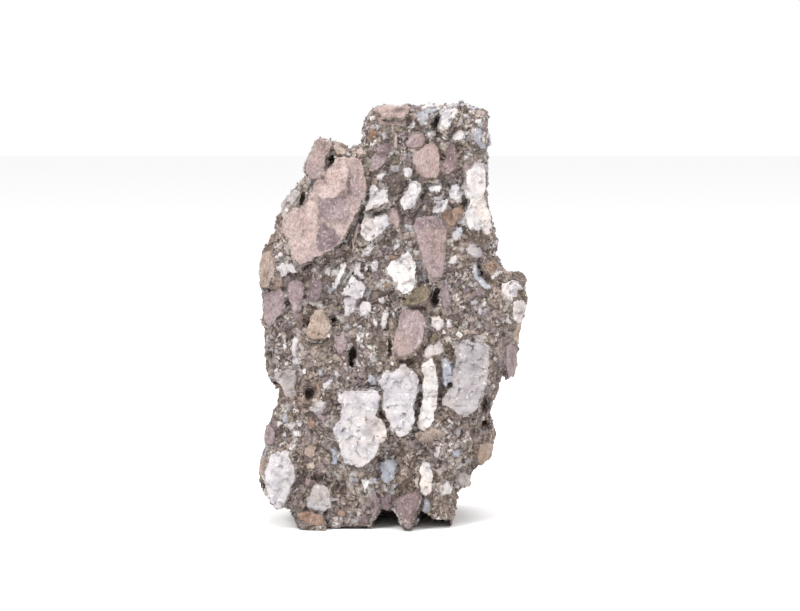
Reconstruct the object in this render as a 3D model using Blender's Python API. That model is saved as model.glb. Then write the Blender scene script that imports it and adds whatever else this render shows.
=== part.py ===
"""Ibigawa viewing stone: an upright slab of angular breccia that stands on its own broken base.

Fragments of mauve rock and of white, cream and smoky quartz, from millimetres to centimetres long, are set in a
gritty groundmass. The front is a rough, nearly flat fracture. The sides and the back are broken in blocks.
X runs to the right, the front faces -Y, Z is up, and the stone rests on Z = 0.
"""

import math
import random

import bmesh
import bpy
import numpy as np
from mathutils import Euler, Matrix, Vector, noise
from mathutils.bvhtree import BVHTree

# Driving sizes, in metres
HEIGHT = 0.200
FRONT = 0.030  # from the middle plane to the front fracture
SLAB_BACK = 0.010  # the detailed outline keeps its full size this far behind the middle plane, at the foot
TOP_THINNER = 0.016  # and this much less far at the top
SLAB_TAPER = 0.010  # then it closes in over this much more
VOXEL = 0.0019
BROAD_FACETS = (0.026, 0.0017)  # how wide a facet of the broken surface is, and how deep it is set
SMALL_FACETS = (0.0095, 0.0007)
RIM_ROUGHNESS = 0.15  # how much of the roughness is left where the front's outline is
BODY_TRIANGLES = 3600
STONE_TRIANGLES = 9300
SEED = 7

# The photograph, 800 by 611: what is read from it is given as (column, row)
TOP_ROW, FOOT_ROW, MID_COLUMN = 102.7, 530.5, 393.5
PIXEL = HEIGHT / (FOOT_ROW - TOP_ROW)  # metres on the stone for one pixel

# The stone seen from the front, clockwise from the tooth at the upper left
OUTLINE = [
    (319, 136), (333, 139.5), (340.5, 142), (340, 146), (345, 150), (348.5, 150), (353, 148), (361, 144),
    (366.3, 143.5), (365.5, 128), (364.5, 126), (367.5, 119), (371.5, 114.5), (372.5, 111), (378, 106.8),
    (384, 105), (399, 107), (405, 104.3), (409, 105), (412, 109.5), (424, 108.7), (430, 104.6), (443, 105.3),
    (450, 103.8), (465, 102.7), (468.5, 107), (478, 108.5), (485, 106.8), (488.7, 111), (487.3, 140),
    (485.5, 148), (488.7, 154), (487, 159.5), (485, 164), (486.5, 173), (486.8, 200), (490, 211), (494, 228.5),
    (493, 231.5), (497.8, 235), (495.5, 241), (493.3, 247), (493, 252.5), (497, 257), (500, 263.5),
    (503.8, 266.5), (504, 274), (507.5, 275.5), (511.5, 273.3), (517, 271.6), (522, 273.7), (527.6, 280),
    (525.5, 287), (528.3, 291), (529.8, 303), (526.8, 306), (527.6, 313), (525, 320.7), (522.5, 323),
    (520.5, 335), (517.5, 345), (519.8, 356), (517, 369), (513, 378), (504, 380.3), (500.3, 388), (497, 398.5),
    (493.8, 405.5), (494, 409.5), (491, 414), (489.8, 424), (493.5, 429), (496, 434.5), (493.8, 449),
    (489, 459.5), (480.5, 468), (474, 476), (471, 482), (470.5, 489.5), (463, 492.5), (457.3, 497), (457.8, 504),
    (456.5, 510), (456, 519), (450, 534), (294, 534), (291, 520), (287.5, 511), (281, 511), (276, 510.5),
    (269, 503), (263, 501.5), (259.5, 495), (257, 484), (258.3, 470), (261, 459.5), (268.5, 450), (265, 444.5),
    (267, 430), (268.2, 422.8), (272.3, 422.5), (272, 417), (277, 408), (282, 398), (281.5, 386), (273.5, 386),
    (269.5, 382), (266, 368), (264, 352), (265, 330), (261.5, 317), (262, 303), (260.5, 283), (258.5, 273),
    (260, 264.5), (264, 252), (267.5, 244), (274.5, 231), (274.8, 217.5), (279, 211), (285.5, 201),
    (292.3, 190), (292, 187.5), (301, 180.5), (303.5, 178), (304.5, 167), (309.3, 154), (312, 150), (315.5, 140),
]

# How the front turns back along its edge: column, row, width of the turn in pixels, and its depth in metres
RIM = [
    (310, 150, 5, 0.003), (275, 215, 24, 0.013), (258, 270, 15, 0.010), (262, 340, 9, 0.008),
    (270, 400, 14, 0.007), (258, 480, 12, 0.008), (330, 528, 6, 0.005), (375, 528, 7, 0.007),
    (440, 528, 9, 0.008), (472, 485, 26, 0.015), (496, 405, 22, 0.016), (518, 355, 30, 0.018),
    (527, 300, 16, 0.010), (490, 200, 10, 0.006), (488, 120, 6, 0.003), (400, 105, 5, 0.003),
]

# The blocks that the slab is broken into behind: first column, last column, top row, foot row, how far back
BLOCKS = [
    (296, 458, 392, 565, 0.031), (272, 392, 268, 440, 0.025), (366, 510, 270, 400, 0.028),
    (294, 470, 190, 330, 0.019), (384, 484, 118, 250, 0.012), (304, 372, 168, 300, 0.012),
    (396, 484, 350, 484, 0.031), (266, 360, 410, 500, 0.022), (330, 420, 330, 470, 0.033),
]
BLOCK_FRONT = -0.010  # the blocks reach this far into the slab
BLOCK_CORNERS = (5, 0.42, 0.50, 0.010)  # chips per corner, and how far in they go: across, up and in metres of depth
BLOCK_TOP = 0.66  # depth of a block's top, of that of its foot

# The raised clasts of the front: how proud in metres, and the outline
CLASTS = {
    "tooth": (0.0022, [(316, 140), (319.5, 136.5), (331, 139.5), (332, 146), (330, 153), (326, 158),
                       (324, 172), (321, 179), (310, 179), (305, 172), (306, 163), (311, 150)]),
    "tooth_chip": (0.0010, [(334, 141.5), (340, 143), (340, 148), (345, 152), (344, 157), (336, 156)]),
    "slab_left": (0.0040, [(318, 188), (325, 172), (332, 166), (337, 158), (346, 157), (349, 170),
                           (348, 190), (340, 198), (326, 200), (319, 197)]),
    "slab_right": (0.0036, [(345, 157), (358, 160), (364, 175), (367, 190), (364, 204), (355, 214),
                            (346, 202), (347, 185)]),
    "slab_lump": (0.0046, [(317, 207), (326, 197), (341, 195), (352, 204), (352, 214), (345, 222),
                           (330, 222), (319, 216)]),
    "slab_foot": (0.0040, [(318, 240), (320, 223), (330, 222), (342, 224), (344, 232), (336, 245),
                           (322, 253), (315, 252)]),
    "slab_band": (0.0036, [(303, 212), (310, 196), (319, 200), (321, 219), (319, 238), (314, 253),
                           (309, 245), (302, 236)]),
    "slab_tip": (0.0032, [(291, 246), (294, 240), (302, 236), (311, 242), (313, 253), (307, 260),
                          (303, 267), (297, 262)]),
    "pale_cheek": (0.0014, [(282, 226), (288, 213), (300, 206), (305, 215), (301, 228), (294, 239),
                            (287, 240)]),
    "scoop_left": (0.0016, [(373, 112), (378, 107), (385, 106), (392, 113), (397, 118.5), (388, 118.5),
                            (379, 115)]),
    "scoop_right": (0.0020, [(397, 112), (401, 107.5), (406, 105), (410, 108), (408, 114), (404, 119),
                             (396, 118)]),
    "blue_white_top": (0.0030, [(437, 128), (440, 117), (441, 110), (450, 106), (458, 107), (461, 111),
                                (457, 118), (449, 131), (442, 134)]),
    "striped_top": (0.0018, [(419, 112), (428, 107), (440, 107), (438, 112), (431, 118), (429, 126),
                             (421, 127)]),
    "round_white_top": (0.0020, [(426, 131), (431, 128), (436, 131), (435, 138), (430, 140), (426, 137)]),
    "lilac_top": (0.0016, [(449, 137), (453, 131), (461, 130), (466, 134), (464, 140), (457, 142)]),
    "corner_purple": (0.0018, [(471, 135), (475, 127), (481, 129), (483, 140), (485, 150), (478, 151)]),
    "mauve_a": (0.0024, [(404, 143), (411, 134), (424, 133), (427, 141), (423, 148), (411, 150)]),
    "mauve_b": (0.0034, [(411, 156), (416, 150), (424, 147), (436, 142), (441, 153), (442, 167),
                         (438, 180), (422, 180), (416, 170)]),
    "purple_c": (0.0026, [(443, 160), (446, 147), (451, 142), (457, 149), (458, 166), (450, 176),
                          (442, 177)]),
    "purple_d": (0.0022, [(375, 149), (380, 145), (389, 143), (392, 149), (387, 155), (378, 155)]),
    "mauve_e": (0.0018, [(369, 160), (374, 154), (387, 156), (386, 164), (379, 171), (370, 170)]),
    "cream_a": (0.0022, [(401, 172), (404, 167), (411, 167), (414, 172), (410, 180), (404, 178)]),
    "white_b": (0.0020, [(362, 214), (368, 196), (369, 186), (375, 183), (387, 189), (389, 202),
                         (378, 209)]),
    "leaf_white": (0.0030, [(399, 202), (406, 191), (411, 181), (419, 180), (423, 189), (418, 204),
                            (409, 212), (402, 212)]),
    "bar_white": (0.0022, [(427, 190), (429, 184), (441, 182), (444, 187), (438, 193), (430, 194)]),
    "oval_white": (0.0028, [(431, 213), (434, 206), (443, 199), (449, 201), (448, 208), (439, 216)]),
    "cream_c": (0.0018, [(448, 194), (452, 184), (459, 184), (463, 194), (458, 202), (450, 200)]),
    "edge_white": (0.0030, [(463, 186), (465, 172), (473, 164), (484, 164), (486, 180), (486, 202),
                            (492, 220), (491, 233), (480, 231), (466, 229), (463, 214), (469, 202)]),
    "cream_d": (0.0024, [(360, 235), (361, 221), (371, 214), (387, 212), (391, 221), (383, 233),
                         (371, 243)]),
    "tall_mauve": (0.0034, [(413, 228), (418, 217), (430, 215), (443, 218), (447, 235), (445, 270),
                            (439, 280), (430, 279), (421, 264), (418, 248)]),
    "leaf_rust": (0.0020, [(443, 218), (449, 211), (464, 205), (461, 218), (455, 227), (446, 225)]),
    "blue_e": (0.0016, [(451, 239), (453, 231), (460, 225), (464, 231), (460, 240), (455, 243)]),
    "brown_lump": (0.0022, [(467, 238), (474, 232), (483, 232), (489, 240), (484, 247), (477, 243)]),
    "grey_f": (0.0016, [(464, 248), (470, 243), (479, 248), (485, 252), (478, 259), (469, 256)]),
    "bright_white": (0.0044, [(385, 270), (389, 262), (398, 259), (401, 253), (408, 249), (416, 260),
                              (417, 284), (408, 295), (400, 294), (392, 284)]),
    "lens": (0.0020, [(400, 304), (408, 296), (419, 286), (430, 287), (429, 298), (418, 306)]),
    "mauve_tablet": (0.0046, [(392, 344), (398, 324), (401, 311), (411, 308), (424, 312), (427, 323),
                              (424, 341), (414, 352), (401, 357), (394, 353)]),
    "small_lilac": (0.0016, [(439, 296), (444, 283), (449, 287), (452, 304), (447, 311), (441, 308)]),
    "blue_streak": (0.0014, [(472, 273), (475, 264), (481, 273), (491, 286), (487, 290), (479, 286)]),
    "rust_edge": (0.0020, [(486, 272), (488, 261), (497, 261), (498, 267), (489, 277)]),
    "edge_knob": (0.0016, [(510, 278), (512, 273), (519, 272), (526, 280), (523, 287), (514, 285)]),
    "edge_blue": (0.0018, [(510, 313), (512, 303), (519, 299), (526, 304), (521, 321), (512, 322)]),
    "cream_left": (0.0018, [(341, 294), (346, 285), (351, 275), (365, 283), (366, 294), (357, 301)]),
    "long_white": (0.0018, [(332, 285), (338, 270), (344, 261), (349, 266), (340, 285), (336, 291)]),
    "mauve_l1": (0.0024, [(263, 294), (276, 288), (285, 290), (287, 302), (278, 320), (268, 328)]),
    "mauve_l2": (0.0026, [(286, 288), (295, 279), (305, 284), (304, 298), (297, 314), (290, 306)]),
    "purple_l3": (0.0022, [(307, 291), (313, 279), (323, 282), (321, 296), (311, 303)]),
    "tan_keystone": (0.0034, [(306, 333), (309, 317), (321, 308), (330, 320), (331, 332), (320, 341),
                              (308, 340)]),
    "left_rim": (0.0016, [(259, 272), (264, 253), (271, 249), (276, 264), (273, 281), (263, 289)]),
    "smoky_left": (0.0020, [(272, 377), (286, 367), (298, 371), (297, 386), (293, 399), (285, 394)]),
    "glassy_chip": (0.0024, [(311, 410), (313, 404), (327, 400), (326, 408), (316, 415)]),
    "cream_foot_left": (0.0036, [(264, 478), (268, 460), (276, 451), (289, 450), (296, 470), (291, 492),
                                 (283, 509), (274, 509), (267, 496)]),
    "grey_crystal": (0.0030, [(306, 506), (309, 492), (317, 482), (329, 487), (333, 506), (322, 512)]),
    "rust_foot": (0.0034, [(296, 516), (306, 511), (323, 514), (327, 524), (324, 536), (300, 536)]),
    "white_lobe_left": (0.0044, [(331, 430), (341, 410), (338, 396), (347, 388), (377, 388), (382, 400),
                                 (378, 416), (389, 430), (385, 441), (375, 458), (356, 468), (341, 458)]),
    "white_lobe_right": (0.0050, [(378, 383), (385, 371), (394, 371), (400, 364), (408, 363), (420, 380),
                                  (416, 400), (415, 422), (404, 437), (390, 432), (381, 408)]),
    "upright_white": (0.0032, [(421, 366), (434, 356), (438, 372), (438, 402), (435, 422), (423, 433),
                               (416, 424), (422, 392)]),
    "white_cap": (0.0030, [(423, 353), (427, 345), (439, 341), (445, 348), (440, 357), (426, 360)]),
    "smoky_right": (0.0030, [(453, 352), (463, 340), (489, 347), (491, 366), (488, 386), (474, 414),
                             (461, 418), (442, 405), (444, 393), (452, 384)]),
    "blue_wedge": (0.0018, [(440, 362), (447, 357), (452, 364), (451, 381), (445, 389), (441, 382)]),
    "tan_lump": (0.0030, [(477, 450), (484, 442), (492, 444), (492, 454), (486, 463), (478, 465)]),
    "blue_cluster": (0.0020, [(380, 468), (388, 457), (399, 461), (396, 478), (386, 484), (380, 478)]),
    "elongated_white": (0.0032, [(417, 484), (419, 468), (426, 459), (432, 467), (431, 492), (424, 497)]),
    "blue_foot": (0.0016, [(421, 499), (429, 498), (431, 508), (428, 515), (421, 509)]),
    "purple_foot": (0.0046, [(394, 502), (402, 494), (416, 489), (421, 498), (415, 513), (414, 536),
                             (404, 536), (400, 517)]),
    "mauve_left": (0.0018, [(267, 425), (273, 428), (275, 440), (270, 446), (266, 442)]),
    "peach_upper": (0.0018, [(303, 452), (306, 444), (316, 444), (318, 452), (311, 459)]),
    "peach_lower": (0.0014, [(304, 470), (308, 461), (317, 463), (318, 472), (309, 476)]),
    "lilac_low": (0.0018, [(303, 484), (306, 475), (313, 479), (311, 489), (305, 491)]),
    "white_low": (0.0020, [(434, 457), (437, 447), (443, 447), (441, 458), (437, 461)]),
    "pale_low": (0.0018, [(438, 492), (441, 483), (449, 479), (453, 487), (449, 497), (442, 499)]),
    "striated": (0.0016, [(456, 488), (458, 470), (468, 466), (471, 478), (468, 490), (460, 494)]),
    "granular_low": (0.0016, [(446, 470), (444, 458), (452, 450), (460, 454), (456, 468)]),
    "peach_middle": (0.0018, [(452, 332), (461, 325), (474, 330), (471, 338), (458, 338)]),
    "slit_mauve": (0.0018, [(369, 500), (372, 489), (378, 494), (380, 508), (374, 520), (370, 514)]),
}

# The pits and crevices of the front: middle column and row, half width and half length in pixels, lean in
# degrees clockwise, depth in metres
PITS = {
    "tooth_pit": (332, 157, 2.6, 5, 8, 0.009), "tooth_pit_low": (330, 165, 2.4, 4.5, 45, 0.008),
    "shoulder_slot": (302, 197, 2.4, 8.5, 15, 0.009), "slab_undercut": (308, 263, 2.2, 10, 55, 0.006),
    "slab_undercut_high": (344, 235, 2.2, 8, 25, 0.006), "left_pit": (331, 318, 6, 2.6, 0, 0.008),
    "left_pit_small": (315, 308, 2.2, 6, 45, 0.006), "middle_slot": (352, 356, 4, 14, 5, 0.011),
    "tablet_slot": (390, 344, 2.2, 14, -2, 0.008), "tablet_shade": (403, 360, 10, 2, 5, 0.005),
    "lens_shade": (414, 308, 11, 2, 0, 0.006), "lilac_slot": (436, 294, 3.2, 12, 8, 0.009),
    "streak_slot": (480, 268, 2, 8, -25, 0.007), "lump_cave": (485, 407, 4, 10, 8, 0.010),
    "lump_cave_low": (486, 426, 4, 3.5, 0, 0.008), "lobe_cave": (309, 393, 6, 7, 20, 0.007),
    "foot_cave": (263, 491, 3.6, 10, -8, 0.010), "crest_pit": (459.6, 108, 2, 4, -15, 0.006),
    "left_slot": (270.5, 354, 1.6, 8, 0, 0.006), "notch": (276, 382.5, 5, 3, -10, 0.008),
    "seam": (379, 404, 1.6, 9, 12, 0.004), "dark_gap": (336, 488, 3, 7, 25, 0.006),
    "top_gap": (435, 121, 3.2, 9, 15, 0.005), "scoop": (393, 109.5, 9, 2.6, 0, 0.004),
}

# The arches under the base: outline of the mouth, and how far in they run, in metres
ARCHES = {
    "left_arch": (0.030, [(371, 545), (373, 523), (377, 516), (381, 511), (394, 511.5), (397, 516), (400, 525),
                          (402, 545)]),
    "right_arch": (0.030, [(414, 545), (416, 522), (419, 512), (430, 515.5), (433, 520), (450, 522),
                           (450, 545)]),
    "left_undercut": (0.012, [(333, 545), (340, 528), (366, 527), (371, 545)]),
}
ARCH_RINGS = [(-0.5, 1.0), (0.25, 1.0), (0.6, 0.88), (1.0, 0.6)]  # share of the way in, and width there
ARCH_ROUGH = 4  # pixels

# The hollows of the foot, between the spots that it stands on: middle from the left and from the front to the
# back, half width, half length and depth, in metres, and how far it is turned, in degrees
FOOT_HOLLOWS = [
    (-0.028, -0.002, 0.0085, 0.0210, 0.0030, 12), (-0.006, 0.014, 0.0110, 0.0080, 0.0026, -10),
    (0.014, 0.012, 0.0070, 0.0110, 0.0028, 25), (-0.014, 0.026, 0.0130, 0.0060, 0.0034, 8),
    (-0.044, 0.010, 0.0060, 0.0150, 0.0036, -8), (0.028, 0.002, 0.0060, 0.0150, 0.0040, 6),
    (-0.012, -0.010, 0.0060, 0.0090, 0.0022, -20), (0.010, 0.028, 0.0120, 0.0050, 0.0030, -5),
]

# How deep the clasts of the front are rooted, and how far their faces rise to the middle
CLAST_ROOT = 0.009
CLAST_CROWN = (0.0003, 0.0011)
CLAST_SHOULDER = (0.0009, 0.0017)  # how far its rim lies below its face
CLAST_FACE, CLAST_FOOT = 0.90, 0.72  # the face and the root, of the outline
CLAST_LEAN = 0.00006  # metres per pixel
PIT_MOUTH = 0.001  # a pit's middle lies this far before the surface

# Clasts that stand out of the sides and the back
STRAY_CLASTS = 60
STRAY_TRIES = 2500
STRAY_SIZES = (0.0055, 0.0120)  # half of the longest side
STRAY_NARROW = (0.55, 0.9)  # width, of the length
STRAY_CORNERS = 7
STRAY_THICKNESS = 0.012
STRAY_PROUD = (0.0008, 0.0026)  # on the back
FLANK_PROUD = 0.2  # of that on a flank, where the outline of the front is
STRAY_LEAN = 0.16
STRAY_FROM = -0.018  # none stands out of the front part
STRAY_SEAT = 0.0032  # how far the surface under its rim may leave the slab's own plane


def clear_scene():
    for old in list(bpy.data.objects):
        bpy.data.objects.remove(old)


def place(column, row, depth=0.0):
    """The point of the stone that the photograph shows there, depth metres behind the middle plane."""
    return Vector(((column - MID_COLUMN) * PIXEL, depth, (FOOT_ROW - row) * PIXEL))


def edge_distance(column, row):
    """How many pixels a point, or each of many, is from the stone's outline."""
    nearest = math.inf
    for (ax, ay), (bx, by) in zip(OUTLINE, OUTLINE[1:] + OUTLINE[:1]):
        dx, dy = bx - ax, by - ay
        along = ((column - ax) * dx + (row - ay) * dy) / (dx * dx + dy * dy)
        along = np.clip(along, 0.0, 1.0)
        nearest = np.minimum(nearest, np.hypot(column - ax - along * dx, row - ay - along * dy))
    return nearest


def turned_back(column, row):
    """How far the front surface lies behind the front fracture's plane there, in metres."""
    total = width = depth = 0.0
    for rim_column, rim_row, turn, drop in RIM:
        weight = (np.hypot(column - rim_column, row - rim_row) + 4.0) ** -4
        total = total + weight
        width = width + weight * turn
        depth = depth + weight * drop
    inward = np.minimum(edge_distance(column, row) * total / width, 1.0)
    return depth / total * (1.0 - inward) ** 1.6


def broken(point, size, height):
    """A surface broken in flat facets: each cell of this size has a level and a tilt of its own."""
    scaled = point / size
    _, centres = noise.voronoi(scaled)
    turn = 2.0 * noise.cell_vector(centres[0] * 7.3) - Vector((1.0, 1.0, 1.0))
    return height * (0.6 * turn.z + 1.3 * (scaled - centres[0]).dot(turn))


def new_object(name, bm):
    bmesh.ops.recalc_face_normals(bm, faces=bm.faces)
    mesh = bpy.data.meshes.new(name)
    bm.to_mesh(mesh)
    bm.free()
    made = bpy.data.objects.new(name, mesh)
    bpy.context.scene.collection.objects.link(made)
    return made


def hull_object(name, bm):
    """The convex hull of the points as a solid."""
    hull = bmesh.ops.convex_hull(bm, input=bm.verts)
    bmesh.ops.delete(bm, geom=list(set(hull["geom_interior"] + hull["geom_unused"])), context="VERTS")
    return new_object(name, bm)


def lofted(name, rings, crown=0.0):
    """A closed solid through rings of equally many points; its first face rises by crown to its middle."""
    bm = bmesh.new()
    loops = [[bm.verts.new(point) for point in ring] for ring in rings]
    for lower, upper in zip(loops, loops[1:]):
        for i in range(len(lower)):
            j = (i + 1) % len(lower)
            bm.faces.new((lower[i], lower[j], upper[j], upper[i]))
    first = bm.faces.new(loops[0])
    bm.faces.new(loops[-1])
    if crown:
        fan = bmesh.ops.poke(bm, faces=[first])
        fan["verts"][0].co.y -= crown
    return new_object(name, bm)


def about(outline, scale):
    """An outline drawn in towards its middle."""
    middle_column = sum(column for column, _ in outline) / len(outline)
    middle_row = sum(row for _, row in outline) / len(outline)
    return [
        (middle_column + (column - middle_column) * scale, middle_row + (row - middle_row) * scale)
        for column, row in outline
    ]


def slab():
    """The front half: the outline of the photograph through its thickness, closing in behind."""
    def behind(row, more=0.0):
        return SLAB_BACK + more - TOP_THINNER * (FOOT_ROW - row) / (FOOT_ROW - TOP_ROW)

    return lofted("slab", [
        [place(column, row, -FRONT) for column, row in OUTLINE],
        [place(column, row, behind(row)) for column, row in OUTLINE],
        [place(column, row, behind(row, SLAB_TAPER)) for column, row in about(OUTLINE, 0.84)],
    ])


def back_block(number, first_column, last_column, top_row, foot_row, back):
    """A convex block with broken corners, thinner towards its top."""
    rand = random.Random(SEED + number)
    chips, across, up, inward = BLOCK_CORNERS
    bm = bmesh.new()
    for corner in range(8):
        upper = corner & 1
        for _ in range(chips):
            column = (first_column, last_column)[corner >> 1 & 1]
            column += rand.uniform(0.0, across) * ((first_column + last_column) / 2 - column)
            row = (foot_row, top_row)[upper]
            row += rand.uniform(0.0, up) * ((foot_row + top_row) / 2 - row)
            depth = (BLOCK_FRONT, back * (BLOCK_TOP if upper else 1.0))[corner >> 2]
            bm.verts.new(place(column, row, depth - rand.uniform(0.0, inward)))
    return hull_object(f"back_block_{number}", bm)


def apply_modifiers(thing):
    graph = bpy.context.evaluated_depsgraph_get()
    mesh = bpy.data.meshes.new_from_object(thing.evaluated_get(graph))
    thing.modifiers.clear()
    thing.data = mesh


def body():
    """The slab and its blocks grown into one, broken in facets and turned back along the rim."""
    parts = [slab()] + [back_block(number, *sizes) for number, sizes in enumerate(BLOCKS)]
    bm = bmesh.new()
    for part in parts:
        bm.from_mesh(part.data)
        bpy.data.objects.remove(part)
    stone = new_object("stone", bm)
    remesh = stone.modifiers.new("one_body", "REMESH")
    remesh.mode = "VOXEL"
    remesh.voxel_size = VOXEL
    apply_modifiers(stone)
    spots = [vertex.co.copy() for vertex in stone.data.vertices]
    normals = [vertex.normal.copy() for vertex in stone.data.vertices]
    columns = np.array([spot.x for spot in spots]) / PIXEL + MID_COLUMN
    rows = FOOT_ROW - np.array([spot.z for spot in spots]) / PIXEL
    for vertex, spot, normal, back in zip(stone.data.vertices, spots, normals, turned_back(columns, rows)):
        frontness = min(max((SLAB_BACK - spot.y) / (FRONT + SLAB_BACK), 0.0), 1.0)
        on_rim = frontness * (1.0 - abs(normal.y))
        rough = broken(spot, *BROAD_FACETS) + broken(spot, *SMALL_FACETS)
        vertex.co = spot + normal * rough * (1.0 - (1.0 - RIM_ROUGHNESS) * on_rim)
        vertex.co.y += back * frontness
    thin_to(stone, BODY_TRIANGLES)
    return stone


def helper(thing, collection):
    """Puts a tool of the modelling in its collection, unseen in a render."""
    bpy.context.scene.collection.objects.unlink(thing)
    collection.objects.link(thing)
    thing.hide_render = True
    thing.display_type = "WIRE"


def front_clast(name, proud, outline, rand):
    """A clast that stands out of the front: a flat face, a broken shoulder and a root in the stone."""
    column = sum(c for c, _ in outline) / len(outline)
    row = sum(r for _, r in outline) / len(outline)
    here = turned_back(column, row)
    lean_x = (turned_back(column + 4, row) - turned_back(column - 4, row)) / 8
    lean_z = (turned_back(column, row + 4) - turned_back(column, row - 4)) / 8
    lean_x += rand.uniform(-CLAST_LEAN, CLAST_LEAN)
    lean_z += rand.uniform(-CLAST_LEAN, CLAST_LEAN)

    def surface(point, raised):
        return -FRONT + here + (point[0] - column) * lean_x + (point[1] - row) * lean_z - raised

    shoulder = [proud - rand.uniform(*CLAST_SHOULDER) for _ in outline]
    return lofted(name, [
        [place(*point, surface(point, proud)) for point in about(outline, CLAST_FACE)],
        [place(*point, surface(point, raised)) for point, raised in zip(outline, shoulder)],
        [place(*point, surface(point, -CLAST_ROOT)) for point in about(outline, CLAST_FOOT)],
    ], crown=rand.uniform(*CLAST_CROWN))


def stray_clast(name, spot, outward, size, rand):
    """An angular clast of uneven corners that lies in the broken surface and stands a little out of it."""
    bm = bmesh.new()
    lean = [rand.uniform(-STRAY_LEAN, STRAY_LEAN) for _ in range(2)]
    turn = outward.to_track_quat("Z", "Y").to_matrix() @ Euler((*lean, rand.uniform(0.0, math.tau))).to_matrix()
    narrow = rand.uniform(*STRAY_NARROW)
    proud = rand.uniform(*STRAY_PROUD) * max(outward.y, FLANK_PROUD)
    for corner in range(STRAY_CORNERS):
        angle = math.tau * (corner + rand.uniform(-0.4, 0.4)) / STRAY_CORNERS
        reach = size * rand.uniform(0.7, 1.0)
        across = Vector((math.cos(angle) * reach, math.sin(angle) * reach * narrow, 0.0))
        for scale, depth in ((CLAST_FACE, 0.0), (1.0, rand.uniform(*CLAST_SHOULDER)), (CLAST_FOOT, STRAY_THICKNESS)):
            bm.verts.new(spot + turn @ (across * scale + Vector((0.0, 0.0, proud - depth))))
    return hull_object(name, bm)


def lies_flat(surface, spot, outward, size):
    """True where a slab of this size would lie in the surface all round, and not hang over an edge."""
    turn = outward.to_track_quat("Z", "Y").to_matrix()
    for step in range(8):
        angle = math.tau * step / 8
        start = spot + turn @ Vector((math.cos(angle) * size, math.sin(angle) * size, STRAY_THICKNESS))
        hit, _, _, distance = surface.ray_cast(start, -outward)
        if hit is None or abs(distance - STRAY_THICKNESS) > STRAY_SEAT:
            return False
    return True


def stray_places(stone, rand):
    """Where clasts stand out of the sides and the back: a point, the way out, and a size."""
    mesh = stone.data
    surface = BVHTree.FromPolygons([v.co for v in mesh.vertices], [face.vertices for face in mesh.polygons])
    faces = [
        face for face in mesh.polygons
        if face.normal.y > -0.3 and face.normal.z < 0.5 and face.center.z > 0.02
    ]
    areas = [face.area for face in faces]
    found = []
    for _ in range(STRAY_TRIES):
        face = rand.choices(faces, areas)[0]
        size = rand.uniform(*STRAY_SIZES)
        apart = all((face.center - other).length > 0.9 * (size + reach) for other, _, reach in found)
        if apart and face.center.y > STRAY_FROM and lies_flat(surface, face.center, face.normal, size):
            found.append((face.center.copy(), face.normal.copy(), size))
    return found[:STRAY_CLASTS]


def pit_cutter(name, column, row, half_width, half_length, lean, depth, rand):
    """A rough, pointed hollow."""
    bm = bmesh.new()
    bmesh.ops.create_icosphere(bm, subdivisions=1, radius=1.0)
    for vertex in bm.verts:
        vertex.co *= rand.uniform(0.88, 1.15)
    middle = place(column, row, -FRONT + turned_back(column, row) - PIT_MOUTH)
    bmesh.ops.transform(
        bm,
        matrix=Matrix.Translation(middle)
        @ Matrix.Rotation(math.radians(lean), 4, "Y")
        @ Matrix.Diagonal((half_width * PIXEL, depth, half_length * PIXEL, 1.0)),
        verts=bm.verts,
    )
    return new_object(name, bm)


def arch_cutter(name, inward, outline, rand):
    """A rough way in under the base, narrower towards its end."""
    rings = []
    for share, scale in ARCH_RINGS:
        depth = -FRONT + share * inward
        rings.append([
            place(column + rand.uniform(-1.0, 1.0) * share * ARCH_ROUGH, row, depth)
            for column, row in about(outline, scale)
        ])
    return lofted(name, rings)


def under_floor():
    """All that lies below the face that the stone rests on."""
    bm = bmesh.new()
    bmesh.ops.create_cube(bm, size=0.4, matrix=Matrix.Translation((0.0, 0.0, -0.2)))
    return new_object("under_floor", bm)


def foot_hollow(name, across, back, half_width, half_length, depth, turn, rand):
    """A shallow broken hollow in the foot."""
    bm = bmesh.new()
    bmesh.ops.create_icosphere(bm, subdivisions=1, radius=1.0)
    for vertex in bm.verts:
        vertex.co *= rand.uniform(0.85, 1.15)
    bmesh.ops.transform(
        bm,
        matrix=Matrix.Translation((across, back, 0.0))
        @ Matrix.Rotation(math.radians(turn), 4, "Z")
        @ Matrix.Diagonal((half_width, half_length, depth, 1.0)),
        verts=bm.verts,
    )
    return new_object(name, bm)


def boolean(stone, operation, collection):
    step = stone.modifiers.new(collection.name, "BOOLEAN")
    step.operation = operation
    step.operand_type = "COLLECTION"
    step.collection = collection
    step.solver = "MANIFOLD"  # the exact solver leaves open edges where many clasts meet
    apply_modifiers(stone)


def thin_to(stone, triangles):
    """Merges the smallest facets until about this many triangles are left."""
    have = sum(len(face.vertices) - 2 for face in stone.data.polygons)
    step = stone.modifiers.new("facets", "DECIMATE")
    step.ratio = min(triangles / have, 1.0)
    apply_modifiers(stone)


def collection_of(name):
    made = bpy.data.collections.new(name)
    bpy.context.scene.collection.children.link(made)
    return made


def stone_material():
    """Breccia: a matt brown-grey rock."""
    made = bpy.data.materials.new("breccia")
    made.use_nodes = True
    shader = made.node_tree.nodes["Principled BSDF"]
    shader.inputs["Base Color"].default_value = (0.33, 0.27, 0.25, 1.0)
    shader.inputs["Roughness"].default_value = 0.72
    shader.inputs["Metallic"].default_value = 0.0
    return made


def stand_on_origin(stone):
    """Puts the middle of the stone's foot, seen from above, at the origin."""
    corners = [vertex.co for vertex in stone.data.vertices]
    middle_x = (min(c.x for c in corners) + max(c.x for c in corners)) / 2
    middle_y = (min(c.y for c in corners) + max(c.y for c in corners)) / 2
    stone.data.transform(Matrix.Translation((-middle_x, -middle_y, -min(c.z for c in corners))))


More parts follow.
